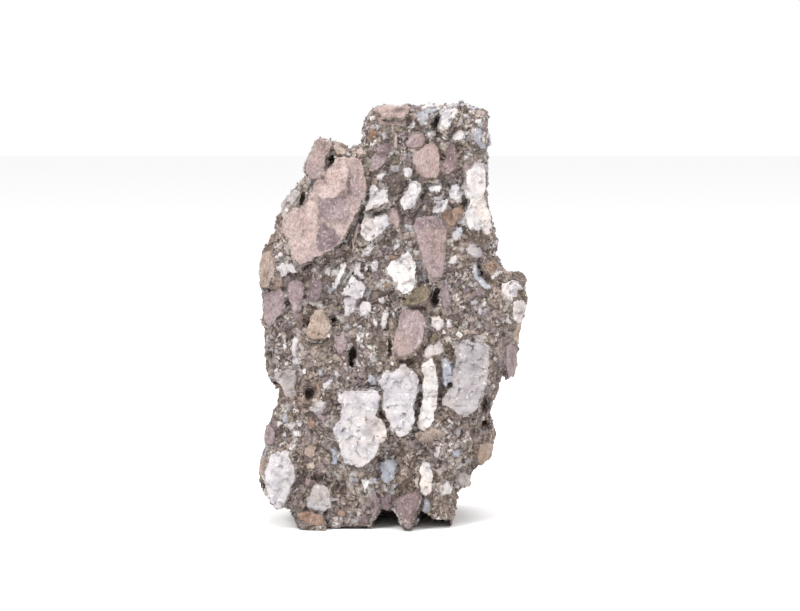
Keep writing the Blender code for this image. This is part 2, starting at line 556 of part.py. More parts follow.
def main():
    clear_scene()
    rand = random.Random(SEED)
    stone = body()
    clasts = collection_of("clasts")
    pits = collection_of("pits")
    under = collection_of("under")
    for name, (proud, outline) in CLASTS.items():
        helper(front_clast(name, proud, outline, rand), clasts)
    for number, (spot, outward, size) in enumerate(stray_places(stone, rand)):
        helper(stray_clast(f"stray_{number}", spot, outward, size, rand), clasts)
    for name, sizes in PITS.items():
        helper(pit_cutter(name, *sizes, rand), pits)
    for name, sizes in ARCHES.items():
        helper(arch_cutter(name, *sizes, rand), under)
    for number, sizes in enumerate(FOOT_HOLLOWS):
        helper(foot_hollow(f"foot_hollow_{number}", *sizes, rand), under)
    helper(under_floor(), under)
    boolean(stone, "UNION", clasts)
    boolean(stone, "DIFFERENCE", pits)
    thin_to(stone, STONE_TRIANGLES)
    boolean(stone, "DIFFERENCE", under)
    stand_on_origin(stone)
    stone.data.materials.clear()
    stone.data.materials.append(stone_material())


main()
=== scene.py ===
"""An upright viewing stone of angular breccia: broken groundmass, set clasts and small chips."""
import itertools
import math
import random

import bpy
import bmesh
import numpy as np
from bpy.props import FloatProperty, FloatVectorProperty, IntProperty, PointerProperty
from mathutils import Matrix, Vector
from mathutils.bvhtree import BVHTree


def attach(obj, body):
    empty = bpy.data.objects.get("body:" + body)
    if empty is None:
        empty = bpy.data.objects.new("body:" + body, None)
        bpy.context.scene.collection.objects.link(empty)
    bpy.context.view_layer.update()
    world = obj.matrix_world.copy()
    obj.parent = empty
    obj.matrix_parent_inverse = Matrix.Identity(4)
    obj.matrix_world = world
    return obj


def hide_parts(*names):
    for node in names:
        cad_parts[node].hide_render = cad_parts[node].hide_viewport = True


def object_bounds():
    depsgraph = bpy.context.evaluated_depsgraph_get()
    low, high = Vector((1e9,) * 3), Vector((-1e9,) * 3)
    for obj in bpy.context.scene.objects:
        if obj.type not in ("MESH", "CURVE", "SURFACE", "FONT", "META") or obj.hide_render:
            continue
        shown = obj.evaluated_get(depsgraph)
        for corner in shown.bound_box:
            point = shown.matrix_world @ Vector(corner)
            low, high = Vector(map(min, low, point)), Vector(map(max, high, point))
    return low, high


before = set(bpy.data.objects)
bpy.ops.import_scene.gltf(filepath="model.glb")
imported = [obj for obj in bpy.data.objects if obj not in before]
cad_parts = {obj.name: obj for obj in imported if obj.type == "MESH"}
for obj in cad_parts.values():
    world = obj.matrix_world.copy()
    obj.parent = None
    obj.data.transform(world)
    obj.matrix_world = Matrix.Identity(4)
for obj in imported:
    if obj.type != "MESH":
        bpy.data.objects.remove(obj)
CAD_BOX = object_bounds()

bl_info = {
    "name": "Breccia viewing stone",
    "version": (1, 0, 0),
    "blender": (4, 5, 0),
    "location": "View3D > Sidebar > Stone",
    "description": "Builds an upright breccia viewing stone on its broken base, on a pale stage",
    "category": "Object",
}

MM = 0.001
NODE = "stone"
SMALL_GRAIN = 1.15 * MM
LARGE_GRAIN = 6.0 * MM
FACET = 3.6 * MM
WANDER = 3.0 * MM
# The photograph is bright, so its colours are darkened by this much where they are a surface's own.
STUDIO_WHITE = "#dadada"

# Camera: a long lens, a little above the stone and tilted slightly down.
FRAME_WIDTH = 800
FRAME_HEIGHT = 611
SENSOR = 36.0
LENS = 110.0
TILT = math.radians(6.0)
AIM = Vector((0.0035, -0.02975, 0.1064))
DISTANCE = 1.1428
CAMERA_PLACE = AIM + DISTANCE * Vector((0.0, -math.cos(TILT), math.sin(TILT)))
CAMERA_TURN = Matrix.Rotation(math.radians(90.0) - TILT, 3, "X")

# Clasts of the front, as they were read: kind, tint, how far they stand out in millimetres, and the
# outline in columns and rows of the camera's frame.
# Kinds: m mauve rock, q quartz, s smoky quartz and grey rock, r rusty and tan rock, d dark and olive rock.
FRONT_CLASTS = (
    # top block
    ("m", 0.5, 0.6, "373,111 378,107 384,105 399,107 405,104 409,105 411,109 408,114 405,118 397,118 390,118 384,117 379,114 375,112"),
    ("q", 0.6, 0.6, "369,115 375,115 376,120 371,122"),
    ("q", -0.8, 0.6, "375,124 380,124 381,128 377,130 374,128"),
    ("r", -0.9, 0.4, "367,131 373,129 378,132 377,139 371,141 367,137"),
    ("s", 0.0, 0.4, "380,131 387,131 388,139 382,141"),
    ("d", 0.9, 0.3, "388,134 393,134 393,140 388,140"),
    ("m", 0.7, 0.7, "393,138 396,132 399,134 399,147 397,152 392,148"),
    ("q", 0.5, 0.8, "407,126 412,121 416,122 416,128 411,130 406,129"),
    ("s", -0.8, 0.8, "419,113 427,109 440,108 438,112 431,118 429,126 421,127"),
    ("q", 0.3, 0.7, "425,104 440,105 440,108 428,109 420,112"),
    ("q", -0.2, 0.9, "426,131 430,128 436,130 436,137 430,140 426,136"),
    ("m", -0.1, 0.9, "404,143 411,133 424,132 426,139 424,147 413,149 405,148"),
    ("m", 0.3, 1.0, "411,155 414,151 423,148 426,143 434,141 438,146 440,153 441,163 440,172 438,179 427,180 421,178 417,173 415,166 411,160"),
    ("m", -1.0, 0.5, "375,149 379,145 386,143 391,145 391,150 388,154 380,155 375,151"),
    ("m", -0.2, 0.9, "370,158 373,153 380,156 388,156 387,161 382,167 378,171 371,170 369,163"),
    ("q", 0.6, 0.6, "401,170 404,167 410,167 414,170 412,177 408,180 403,177"),
    ("q", 0.6, 0.7, "375,176 380,173 387,171 389,176 386,181 381,182 377,180"),
    ("d", -0.4, 0.1, "388,175 400,173 403,178 409,180 406,187 400,194 393,197 388,192 387,184 380,182"),
    ("d", 0.6, 0.1, "391,155 400,155 400,165 392,165"),
    ("s", 0.2, 0.4, "388,163 400,164 400,172 389,172"),
    ("q", 0.0, 1.4, "438,131 437,126 440,117 441,110 448,108 458,107 461,110 458,117 453,125 449,131 443,134"),
    ("d", -0.5, 0.6, "462,104 467,104 468,111 463,112"),
    ("q", 0.5, 0.4, "463,113 469,113 469,119 464,119"),
    ("q", 0.4, 0.5, "474,119 483,119 482,124 475,124"),
    ("q", 0.0, 0.9, "450,137 453,131 461,130 465,133 465,139 459,142 451,140"),
    ("s", -0.6, 0.9, "474,128 479,127 481,133 481,141 485,148 480,150 475,143 472,135"),
    ("r", 0.2, 0.3, "466,140 470,146 478,154 483,156 480,159 470,152 464,145"),
    ("m", -0.6, 1.0, "446,147 450,142 456,145 457,153 458,163 457,170 450,175 442,177 441,169 444,160 445,153"),
    # upper centre and upper right
    ("q", 0.2, 1.1, "369,186 373,183 376,184 381,188 387,189 389,195 389,202 384,204 379,209 370,210 362,214 364,206 368,196"),
    ("q", 0.3, 1.2, "411,181 417,180 422,184 423,191 419,199 417,206 411,211 403,212 400,206 399,200 405,193 409,187"),
    ("r", 0.9, 0.4, "421,205 425,203 428,206 427,211 422,211"),
    ("q", 0.35, 1.3, "464,172 470,168 473,163 479,161 484,163 486,170 486.5,185 486.5,200 490,210 493,225 492,233 486,236 480,231 469,230 465,224 463,213 466,206 469,201 464,195 463,186 464,178"),
    ("q", 0.4, 0.8, "451,184 458,183 462,190 463,197 457,202 450,199 448,193"),
    ("q", 0.5, 0.9, "428,184 441,182 444,187 440,192 431,193 427,190"),
    ("q", 0.3, 1.0, "433,209 437,202 444,199 449,200 449,206 444,213 437,215 431,213"),
    ("r", -0.8, 0.7, "443,217 449,211 456,207 464,205 462,213 459,221 456,226 450,227 445,223"),
    ("q", -0.6, 0.7, "452,232 458,226 463,226 464,232 461,238 456,242 451,239"),
    ("d", -0.6, 1.2, "470,234 475,232 481,231 486,235 489,240 486,245 480,248 477,243 472,240 467,238"),
    ("s", -0.1, 1.0, "464,248 469,243 474,244 479,248 485,252 483,257 477,259 471,256 466,253"),
    ("q", 0.5, 0.8, "452,246 456,246 457,250 453,252"),
    ("q", 0.4, 0.8, "446,262 450,256 456,253 459,258 457,264 450,265"),
    ("q", -0.8, 0.9, "474,264 477,265 480,272 482,277 486,283 491,286 491,290 485,290 480,287 475,281 472,274"),
    ("r", -0.9, 0.7, "487,262 492,258 497,262 498,266 492,271 488,276 486,270"),
    ("q", 0.5, 0.8, "489,278 497,270 503,270 502,274 496,278 491,280"),
    ("d", -0.2, 1.3, "511,274 517,272 523,275 527,280 525,286 519,288 514,284 511,279"),
    ("d", 0.8, 0.4, "521,290 525,289 526,295 523,298 520,295"),
    ("q", 0.1, 1.2, "511,304 517,299 524,300 527,306 523,316 519,324 512,322 510,313"),
    ("q", 0.6, 0.7, "485,300 488,301 487,306 483,308 481,304"),
    ("q", 0.5, 0.7, "477,308 482,308 483,314 480,317 477,313"),
    ("m", -0.9, 0.7, "474,285 484,289 487,296 480,299 474,293"),
    ("m", -0.6, 0.6, "486,310 491,309 492,314 488,317 485,314"),
    ("m", -0.5, 0.5, "490,327 496,326 498,331 494,334 490,332"),
    ("s", -0.2, 0.6, "468,299 477,298 478,305 470,306"),
    ("r", 0.9, 0.4, "463,329 477,328 478,335 465,336"),
    ("m", -0.4, 0.7, "440,289 444,283 448,286 451,296 452,306 447,311 442,308 440,298"),
    ("q", 0.4, 0.4, "500,281 511,280 519,290 517,298 508,300 501,293"),
    # centre
    ("m", 0.8, 0.9, "350,240 354,228 358,219 360,225 356,240 352,256 348,262"),
    ("q", 0.2, 1.1, "361,222 364,216 372,214 380,213 388,212 391,220 390,226 385,231 379,237 373,242 364,243 360,236"),
    ("q", 0.6, 1.0, "361,250 366,244 373,241 376,245 373,250 368,256 363,257"),
    ("m", 0.8, 0.7, "390,210 394,207 399,211 400,220 398,229 393,229 391,221"),
    ("q", 0.5, 0.8, "392,246 397,241 402,243 401,248 394,251"),
    ("r", -0.9, 0.4, "388,254 396,256 398,259 391,261"),
    ("m", 0.0, 1.2, "414,221 418,217 427,215 436,216 443,218 446,226 447,240 446,255 445,268 443,278 436,280 430,279 427,273 421,264 419,252 416,240 413,230"),
    ("q", 1.0, 1.8, "385,270 389,262 394,260 398,259 400,254 404,253 407,249 410,251 413,256 416,260 417,268 417,278 417,285 413,291 408,295 402,295 397,291 393,285 391,278 386,275"),
    ("s", -0.2, 0.8, "418,274 422,271 427,274 428,279 423,281 419,280"),
    ("d", 0.9, 1.0, "400,303 406,298 413,291 419,286 428,285 431,290 430,298 425,303 417,306 408,307 402,308"),
    ("q", 0.5, 0.9, "352,268 357,261 361,262 361,270 366,277 361,280 354,274"),
    ("q", 0.5, 0.8, "362,268 367,262 369,268 366,272"),
    ("q", 0.5, 0.8, "370,263 375,260 380,261 380,268 377,273 371,270"),
    ("m", -0.5, 0.6, "372,273 379,272 381,278 376,281 371,279"),
    ("q", 0.3, 1.1, "339,292 345,288 349,277 353,274 359,280 366,283 366,293 362,299 357,301 349,297 343,297"),
    ("q", 0.4, 0.9, "358,312 362,301 368,300 373,305 372,312 366,316 360,317"),
    ("q", 0.2, 0.9, "380,317 383,309 387,309 389,314 387,320 386,327 381,331 380,324"),
    ("q", 0.3, 0.8, "377,297 385,296 387,304 382,306 378,303"),
    ("q", 0.5, 0.8, "371,318 376,318 379,322 378,328 373,326"),
    ("q", 0.5, 0.8, "343,299 352,297 358,303 356,311 349,318 342,317"),
    ("q", 0.4, 0.5, "430,317 439,316 445,319 444,328 436,331 430,327"),
    ("q", 0.4, 0.4, "446,318 451,319 451,328 446,330"),
    ("m", 0.2, 1.7, "399,316 402,310 410,309 420,310 425,315 427,322 426,332 424,341 420,348 413,353 406,357 398,357 394,353 392,345 393,338 396,331 398,324"),
    # upper left
    ("m", 0.8, 2.0, "337,156 345,157 352,155 360,158 364,165 367,180 366,192 362,205 357,214 352,224 345,238 337,247 330,251 322,256 312,262 303,264 296,256 291,246 287,238 282,230 284,222 291,212 300,206 303,205 307,196 313,183 320,175 328,168 333,162"),
    ("M", 0.9, 2.4, "325,172 332,166 337,158 346,158 349,170 347,190 340,197 326,200 319,197 318,188"),
    ("M", 0.2, 2.0, "350,158 358,160 364,175 366,190 363,200 352,204 349,190 350,172"),
    ("M", -0.1, 2.5, "318,205 326,198 340,196 350,204 350,214 345,221 335,220 325,220 319,214"),
    ("M", -0.9, 2.3, "320,224 325,223 335,229 339,236 337,243 328,250 320,252 317,241"),
    ("M", 0.9, 2.0, "306,205 312,197 318,203 320,219 318,235 314,248 310,240 308,222"),
    ("M", 1.0, 2.2, "291,246 294,241 302,238 309,241 312,250 307,258 303,266 297,262 292,252"),
    ("M", 0.7, 1.8, "283,222 290,212 300,207 305,215 300,228 295,238 288,240 282,232"),
    ("m", 0.3, 1.3, "315.5,140 319,136 331,139 332,146 330,153 326,158 324,172 322,179 310,179 305,172 306,163 311,150"),
    ("r", 0.9, 0.8, "333,141 340,142 340,147 346,151 345,156 336,156 333,150"),
    ("s", 0.3, 0.3, "280,205 288,196 298,188 300,194 290,206 283,220"),
    # left
    ("m", 0.0, 1.1, "262,292 270,290 279,287 285,290 287,300 284,312 276,322 268,330 264,320 262,308"),
    ("r", -0.2, 0.9, "269,272 276,277 283,280 284,287 276,288 270,283"),
    ("m", 0.1, 0.9, "287,283 294,279 302,280 306,285 305,296 301,305 297,314 292,312 288,300 286,291"),
    ("m", -0.9, 0.8, "308,283 313,279 320,280 324,284 322,292 318,301 312,303 307,297"),
    ("r", 0.6, 1.1, "309,316 316,310 322,308 327,314 331,322 331,332 325,338 316,341 307,339 306,328"),
    ("r", 0.2, 0.8, "258.5,273 260,264 264,252 269,249 274,256 276,266 275,275 270,283 270,288 262,290 260,282"),
    ("q", 0.6, 0.8, "277,254 281,251 285,254 282,258 278,257"),
    ("q", 0.5, 0.9, "277,266 283,262 288,264 289,272 286,277 280,277 278,271"),
    ("q", 0.5, 0.8, "286,263 292,261 295,266 299,272 294,275 289,272 287,267"),
    ("s", 0.1, 0.6, "275,243 280,242 280,248 276,249"),
    ("q", 0.5, 0.9, "338,270 343,262 347,261 349,266 344,276 340,284 337,291 333,289 332,283 336,275"),
    ("q", 0.1, 0.7, "282,343 286,338 288,343 288,350 283,351"),
    ("q", 0.3, 0.6, "293,336 299,335 298,345 297,356 300,366 295,368 292,357 291,346"),
    ("m", 0.2, 0.6, "333,335 345,334 348,342 346,351 338,354 333,347"),
    ("s", 0.5, 1.4, "271,376 278,371 288,367 297,370 299,378 296,386 298,396 292,399 286,396 283,386 276,380"),
    # lower left
    ("s", -0.2, 1.1, "311,411 312,405 317,401 327,400 328,405 323,411 316,415"),
    ("d", -0.9, 1.0, "322,396 326,390 330,388 333,391 332,398 327,401 323,399"),
    ("q", 0.3, 0.7, "322,385 326,380 333,376 334,381 329,388 324,391"),
    ("r", -0.9, 0.8, "306,422 309,416 313,415 316,422 313,430 308,430"),
    ("r", -0.6, 0.5, "315,381 320,383 321,392 317,393"),
    ("q", 0.4, 0.8, "277,420 281,420 283,425 279,429 276,425"),
    ("q", 0.4, 0.8, "295,423 299,420 303,423 302,427 297,428"),
    ("q", 0.3, 0.6, "292,431 301,430 302,437 294,438"),
    ("q", 0.4, 0.6, "281,432 287,432 287,438 282,438"),
    ("q", -0.05, 1.5, "268,461 271,453 277,451 286,449 290,452 292,460 296,470 296,478 292,487 290,495 286,503 282,510 274,509 270,503 267,494 264,482 263,472"),
    ("r", 0.1, 0.6, "259,470 263,457 267,455 264,464 262,478 259,480"),
    ("s", -0.1, 1.2, "306,506 309,494 311,488 317,482 325,484 330,490 332,498 333,508 325,512 312,512"),
    ("r", -0.9, 0.8, "296,513 303,511 313,512 322,514 325,520 324,527 316,527 308,525 300,521"),
    ("s", -0.9, 0.8, "329,449 334,447 338,452 339,460 335,467 330,463"),
    ("r", 0.9, 0.7, "304,447 312,443 318,447 316,455 309,459 304,455"),
    ("r", 0.8, 0.6, "316,458 321,455 322,464 318,468"),
    ("r", 0.9, 0.4, "304,463 315,461 316,468 306,470"),
    ("m", 0.0, 0.8, "267,423 273,427 275,436 273,445 269,446 266,443 266,432"),
    ("d", -0.7, 0.6, "332,486 337,480 340,484 338,496 333,492"),
    ("m", -0.4, 0.7, "304,478 308,476 313,480 310,487 306,489 304,484"),
    # lower middle and lower right
    ("q", 0.1, 2.0, "338,396 345,388 358,388 372,388 380,390 382,398 380,405 377,415 384,420 389,430 388,438 381,444 377,455 370,463 362,468 352,467 345,463 340,455 338,445 333,438 331,428 339,420 341,408"),
    ("q", -0.15, 2.2, "383,392 379,386 377,380 383,371 393,371 399,364 407,363 414,370 419,378 421,388 417,397 414,408 416,420 412,432 404,437 398,438 390,431 385,418 380,406"),
    ("r", 0.7, 0.7, "413,432 421,428 430,426 440,428 447,433 440,439 428,443 416,441"),
    ("q", 0.8, 1.4, "421,364 425,360 433,356 437,364 438,376 439,392 437,408 436,420 430,428 424,432 417,428 417,418 420,406 422,392 423,380 421,371"),
    ("q", 0.0, 1.2, "423,352 426,346 433,343 439,341 444,345 445,351 440,356 432,356 426,360 423,358"),
    ("q", -0.7, 1.0, "440,360 446,357 452,360 452,372 451,382 445,389 441,384 441,372"),
    ("s", 0.0, 1.3, "453,352 458,343 464,339 478,342 490,347 491,360 490,372 489,385 484,396 479,404 475,413 466,418 459,416 452,410 442,406 441,398 446,392 452,386 452,370"),
    ("d", 0.9, 0.7, "427,344 431,334 437,333 440,338 434,343"),
    ("m", 0.0, 0.5, "505,345 511,340 518,348 519,364 514,378 507,380 504,365"),
    ("r", 0.1, 1.0, "478,447 483,442 490,441 493,446 492,454 487,462 481,466 477,462 476,454"),
    ("s", -0.8, 1.1, "380,472 380,462 387,457 396,458 400,463 396,470 396,478 391,483 383,484 380,479"),
    ("q", 0.9, 1.2, "361,479 369,478 371,481 368,488 366,494 363,490"),
    ("q", -0.9, 0.9, "371,478 377,476 379,480 374,485 370,484"),
    ("q", 0.9, 1.5, "417,485 418,470 421,462 426,459 431,462 432,472 432,484 430,493 424,497 419,492"),
    ("s", -0.9, 0.8, "421,498 428,497 431,505 430,514 424,513 420,508"),
    ("m", -0.9, 1.6, "394,503 395,498 402,494 410,490 417,490 421,498 419,504 415,512 414,520 413.5,529 410,531 405,528 402,520 398,514"),
    ("m", -0.3, 0.9, "369,497 371,489 376,490 379,497 380,506 378,513 375,519 371,518 370,508"),
    ("m", -0.9, 0.9, "380,498 388,492 393,497 393,507 389,512 383,510"),
    ("m", -1.0, 0.7, "360,517 365,513 369,518 369,525 362,524"),
    ("q", 0.6, 0.9, "437,447 442,446 441,455 438,460 434,457"),
    ("s", 0.6, 0.8, "458,472 464,470 470,474 469,486 463,490 458,482"),
    ("q", 0.4, 0.8, "440,484 447,480 452,485 450,493 443,497 439,492"),
    ("s", -0.8, 0.5, "452,450 459,449 461,455 456,458 452,455"),
)

# Small hollows of the front, pushed in and darkened with painted shade: column, row, half width and half height in
# pixels, depth in millimetres.
FRONT_HOLLOWS = (
    (400, 110, 7, 2, 1.2), (437, 121, 2.4, 8, 2.5), (459.5, 108, 1.8, 3.5, 2.0),
    (332, 157, 2, 2, 1.5), (330, 165, 2, 2, 1.5), (302, 197, 2, 2.4, 1.5), (323, 178, 1.6, 2, 1.2),
    (451.6, 218, 1.2, 6, 1.6), (479, 267, 1.6, 8, 1.8), (487, 279, 3.0, 4, 1.8),
    (435, 296, 4.5, 12, 3.0), (416, 308, 8, 2, 2.0), (331, 318, 4.5, 2.6, 2.0), (314, 308, 2, 2, 1.5),
    (319, 341, 4.5, 1.8, 1.8), (270.5, 354, 1.8, 7, 2.0), (352, 356, 4, 13, 3.5),
    (273, 382, 5, 3, 2.0), (309, 392, 6, 8, 2.6), (486, 406, 4, 10, 3.0), (486, 426, 4, 5, 2.5),
    (262, 491, 2.4, 11, 2.0), (373, 506, 1.4, 4, 1.2), (473, 432, 2, 6, 1.8), (447, 441, 2, 2, 1.4),
    (453, 504, 3, 3, 1.6), (402, 227, 2.4, 10, 1.2), (395, 234, 4, 4, 1.2), (401, 262, 1.4, 1.4, 0.8),
    (412, 300, 2, 1.2, 0.8), (381, 405, 2, 6, 1.6), (440, 398, 1.6, 9, 1.4), (454, 362, 1.6, 8, 1.2),
)

KINDS = ("m", "q", "s", "r", "d")
KIND_NAMES = {"m": "mauve", "q": "quartz", "s": "smoky", "r": "rusty", "d": "dark"}
KIND_WEIGHTS = (0.34, 0.28, 0.14, 0.10, 0.14)
# How strongly each kind breaks into facets, as a share of the sharpest.
KIND_FACETS = {"m": 0.45, "q": 1.0, "s": 1.0, "r": 0.6, "d": 0.9}
CHIP_NAMES = ("pale_chips", "grey_chips", "brown_chips", "mauve_chips")
CHIP_WEIGHTS = (0.26, 0.22, 0.28, 0.24)
ROOT = 3.0 * MM
BEVEL = 0.5 * MM
FLOOR_GAP = 0.0001
PAINT_DEPTH = 5.0 * MM
FAR_FROM_RIM = 2.0
CELL = 6.0 * MM
CREVICE_HALF = 0.7
CUT_PLACE = -0.008
CUT_OVERLAP = 0.0004
BAND_HEIGHTS = (66.0 * MM, 126.0 * MM)
# The relief stays within this of the frame's box, and the cut faces are this many small ones along each side,
# because one large face with so broken an outline would be filled wrongly.
MARGIN = 10.0 * MM
BOX_LOW = Vector(CAD_BOX[0]) - Vector((MARGIN, MARGIN, MARGIN))
BOX_HIGH = Vector(CAD_BOX[1]) + Vector((MARGIN, MARGIN, MARGIN))
CUT_CELLS = 48
# One mesh of the front would be too large, so it is made in three bands: name, front or not, lowest, highest.
ROCK_PARTS = (
    ("breccia_front_base", True, BOX_LOW.z, BAND_HEIGHTS[0]),
    ("breccia_front_middle", True, BAND_HEIGHTS[0], BAND_HEIGHTS[1]),
    ("breccia_front_top", True, BAND_HEIGHTS[1], BOX_HIGH.z),
    ("breccia_back", False, BOX_LOW.z, BOX_HIGH.z),
)
SEED = 17


def linear(code):
    """The linear colour of an sRGB hex value."""
    parts = [int(code[i:i + 2], 16) / 255 for i in (1, 3, 5)]
    return tuple(p / 12.92 if p <= 0.04045 else ((p + 0.055) / 1.055) ** 2.4 for p in parts)


def colour(code):
    return (*linear(code), 1.0)


class StoneSizes(bpy.types.PropertyGroup):
    relief: FloatProperty(
        name="Groundmass relief", description="How deep the crevices between the grains go",
        default=0.7 * MM, unit="LENGTH")
    grain: FloatProperty(
        name="Grain", description="Usual width of a large grain of the groundmass",
        default=3.2 * MM, unit="LENGTH")
    front_step: FloatProperty(
        name="Front step", description="Grid step of the front of the rock",
        default=0.52 * MM, unit="LENGTH")
    back_step: FloatProperty(
        name="Back step", description="Grid step of the back of the rock",
        default=0.74 * MM, unit="LENGTH")
    far_clasts: IntProperty(
        name="Clasts of the other sides",
        description="Number of clasts tried on the sides that the front view hides", default=2600)
    chips: IntProperty(
        name="Chips", description="Number of small chips on the groundmass", default=260)


class StoneColours(bpy.types.PropertyGroup):
    mauve: FloatVectorProperty(
        name="Mauve", description="Middle colour of the mauve clasts", subtype="COLOR",
        size=3, min=0.0, max=1.0, default=linear("#a9989a"))
    quartz: FloatVectorProperty(
        name="Quartz", description="Middle colour of the quartz clasts", subtype="COLOR",
        size=3, min=0.0, max=1.0, default=linear("#d6d1d2"))
    smoky: FloatVectorProperty(
        name="Smoky", description="Middle colour of the grey clasts", subtype="COLOR",
        size=3, min=0.0, max=1.0, default=linear("#bcb6b7"))
    rusty: FloatVectorProperty(
        name="Rusty", description="Middle colour of the rusty and tan clasts", subtype="COLOR",
        size=3, min=0.0, max=1.0, default=linear("#b5a598"))
    dark: FloatVectorProperty(
        name="Dark", description="Middle colour of the dark clasts", subtype="COLOR",
        size=3, min=0.0, max=1.0, default=linear("#7a6d66"))
    groundmass: FloatVectorProperty(
        name="Groundmass", description="Middle colour of the groundmass", subtype="COLOR",
        size=3, min=0.0, max=1.0, default=linear("#a2958f"))


def deselect():
    bpy.ops.object.select_all(action="DESELECT")


def pick(obj):
    deselect()
    obj.select_set(True)
    bpy.context.view_layer.objects.active = obj


def apply_modifier(obj, kind, **settings):
    """Adds a modifier with these settings to the object and applies it."""
    pick(obj)
    bpy.ops.object.modifier_add(type=kind)
    modifier = obj.modifiers[-1]
    for name, value in settings.items():
        setattr(modifier, name, value)
    bpy.ops.object.modifier_apply(modifier=modifier.name)


def add(tree, kind, inputs=(), stops=(), stepped=False, **settings):
    """Adds a node with its settings and links.

    inputs maps a socket's name or number to a value or to the socket that feeds it. stops are a colour ramp's
    positions and colours, which change by steps if stepped is set."""
    node = tree.nodes.new(kind)
    for name, value in settings.items():
        setattr(node, name, value)
    for key, value in dict(inputs).items():
        if isinstance(value, bpy.types.NodeSocket):
            tree.links.new(value, node.inputs[key])
        else:
            node.inputs[key].default_value = value
    if stops:
        node.color_ramp.interpolation = "CONSTANT" if stepped else "LINEAR"
        while len(node.color_ramp.elements) < len(stops):
            node.color_ramp.elements.new(0.5)
        for element, (position, shade) in zip(node.color_ramp.elements, stops):
            element.position = position
            element.color = shade
    return node


def coordinates(obj):
    mesh = obj.data
    co = np.empty(len(mesh.vertices) * 3)
    mesh.vertices.foreach_get("co", co)
    return co.reshape(-1, 3)


def normals(obj):
    mesh = obj.data
    no = np.empty(len(mesh.vertices) * 3, np.float32)
    mesh.vertex_normals.foreach_get("vector", no)
    return no.reshape(-1, 3).astype(float)


def set_coordinates(obj, co):
    obj.data.vertices.foreach_set("co", co.ravel())
    obj.data.update()


def store(obj, name, values):
    layer = obj.data.attributes.get(name) or obj.data.attributes.new(name, "FLOAT", "POINT")
    layer.data.foreach_set("value", np.asarray(values, np.float32))


def belongs(obj, material):
    """Gives a finished piece its material and its place in the frame."""
    obj.data.materials.clear()
    obj.data.materials.append(material)
    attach(obj, "root")
    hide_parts(NODE)


# The clasts' rims, before any mesh is made

def cad_surface():
    mesh = bmesh.new()
    mesh.from_mesh(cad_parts[NODE].data)
    bmesh.ops.remove_doubles(mesh, verts=mesh.verts, dist=1e-7)
    tree = BVHTree.FromBMesh(mesh)
    return mesh, tree


def ray_of(column, row):
    """The direction from the camera through a pixel of its frame."""
    step = SENSOR / LENS / FRAME_WIDTH
    way = Vector(((column - FRAME_WIDTH / 2) * step, (FRAME_HEIGHT / 2 - row) * step, -1.0))
    return (CAMERA_TURN @ way).normalized()


def fitted_plane(points, facing):
    """A point and the outward normal of the plane nearest to the points."""
    centre = sum(points, Vector()) / len(points)
    rows = np.array([p - centre for p in points])
    normal = Vector(np.linalg.svd(rows)[2][2])
    if normal.dot(facing) < 0:
        normal.negate()
    lean = normal.dot(facing)
    if lean < 0.45:
        sideways = normal - facing * lean
        normal = (facing * 0.45 + sideways.normalized() * math.sqrt(1 - 0.45 ** 2)).normalized()
    return centre, normal


def ragged(ring, out, rng, roughness=0.13, finest=1.1 * MM):
    """The ring with points added and moved until its sides are short, as a broken edge runs."""
    while True:
        result = []
        for here, after in zip(ring, ring[1:] + ring[:1]):
            side = after - here
            result.append(here)
            if side.length > finest:
                result.append(here + side * 0.5 + side.cross(out) * rng.uniform(-roughness, roughness))
        if len(result) == len(ring):
            return ring
        ring = result


def front_clast(tree, line):
    kind, tint, proud, outline = line
    pixels = [tuple(map(float, pair.split(","))) for pair in outline.split()]
    middle = tuple(sum(p[i] for p in pixels) / len(pixels) for i in (0, 1))
    facing = -ray_of(*middle)
    inner = [((x + middle[0]) / 2, (y + middle[1]) / 2) for x, y in pixels]
    found = [tree.ray_cast(CAMERA_PLACE, ray_of(*p))[0] for p in pixels + inner + [middle]]
    hits = [p for p in found if p is not None]
    if len(hits) < 4:
        return None
    level = sorted((p - CAMERA_PLACE).length for p in hits)[len(hits) // 2]
    near = [p for p in hits if abs((p - CAMERA_PLACE).length - level) < 7 * MM]
    centre, normal = fitted_plane(near if len(near) > 3 else hits, facing)
    ring = []
    for pixel, hit in zip(pixels, found):
        ray = ray_of(*pixel)
        plane = CAMERA_PLACE + ray * ((centre - CAMERA_PLACE).dot(normal) / ray.dot(normal))
        if hit is None or (hit - plane).length > 3 * MM:
            hit = plane
        ring.append(plane.lerp(hit, 0.35))
    return dict(kind=kind.lower(), seam=kind.islower(), tint=tint, proud=proud * MM, out=normal, ring=ring)


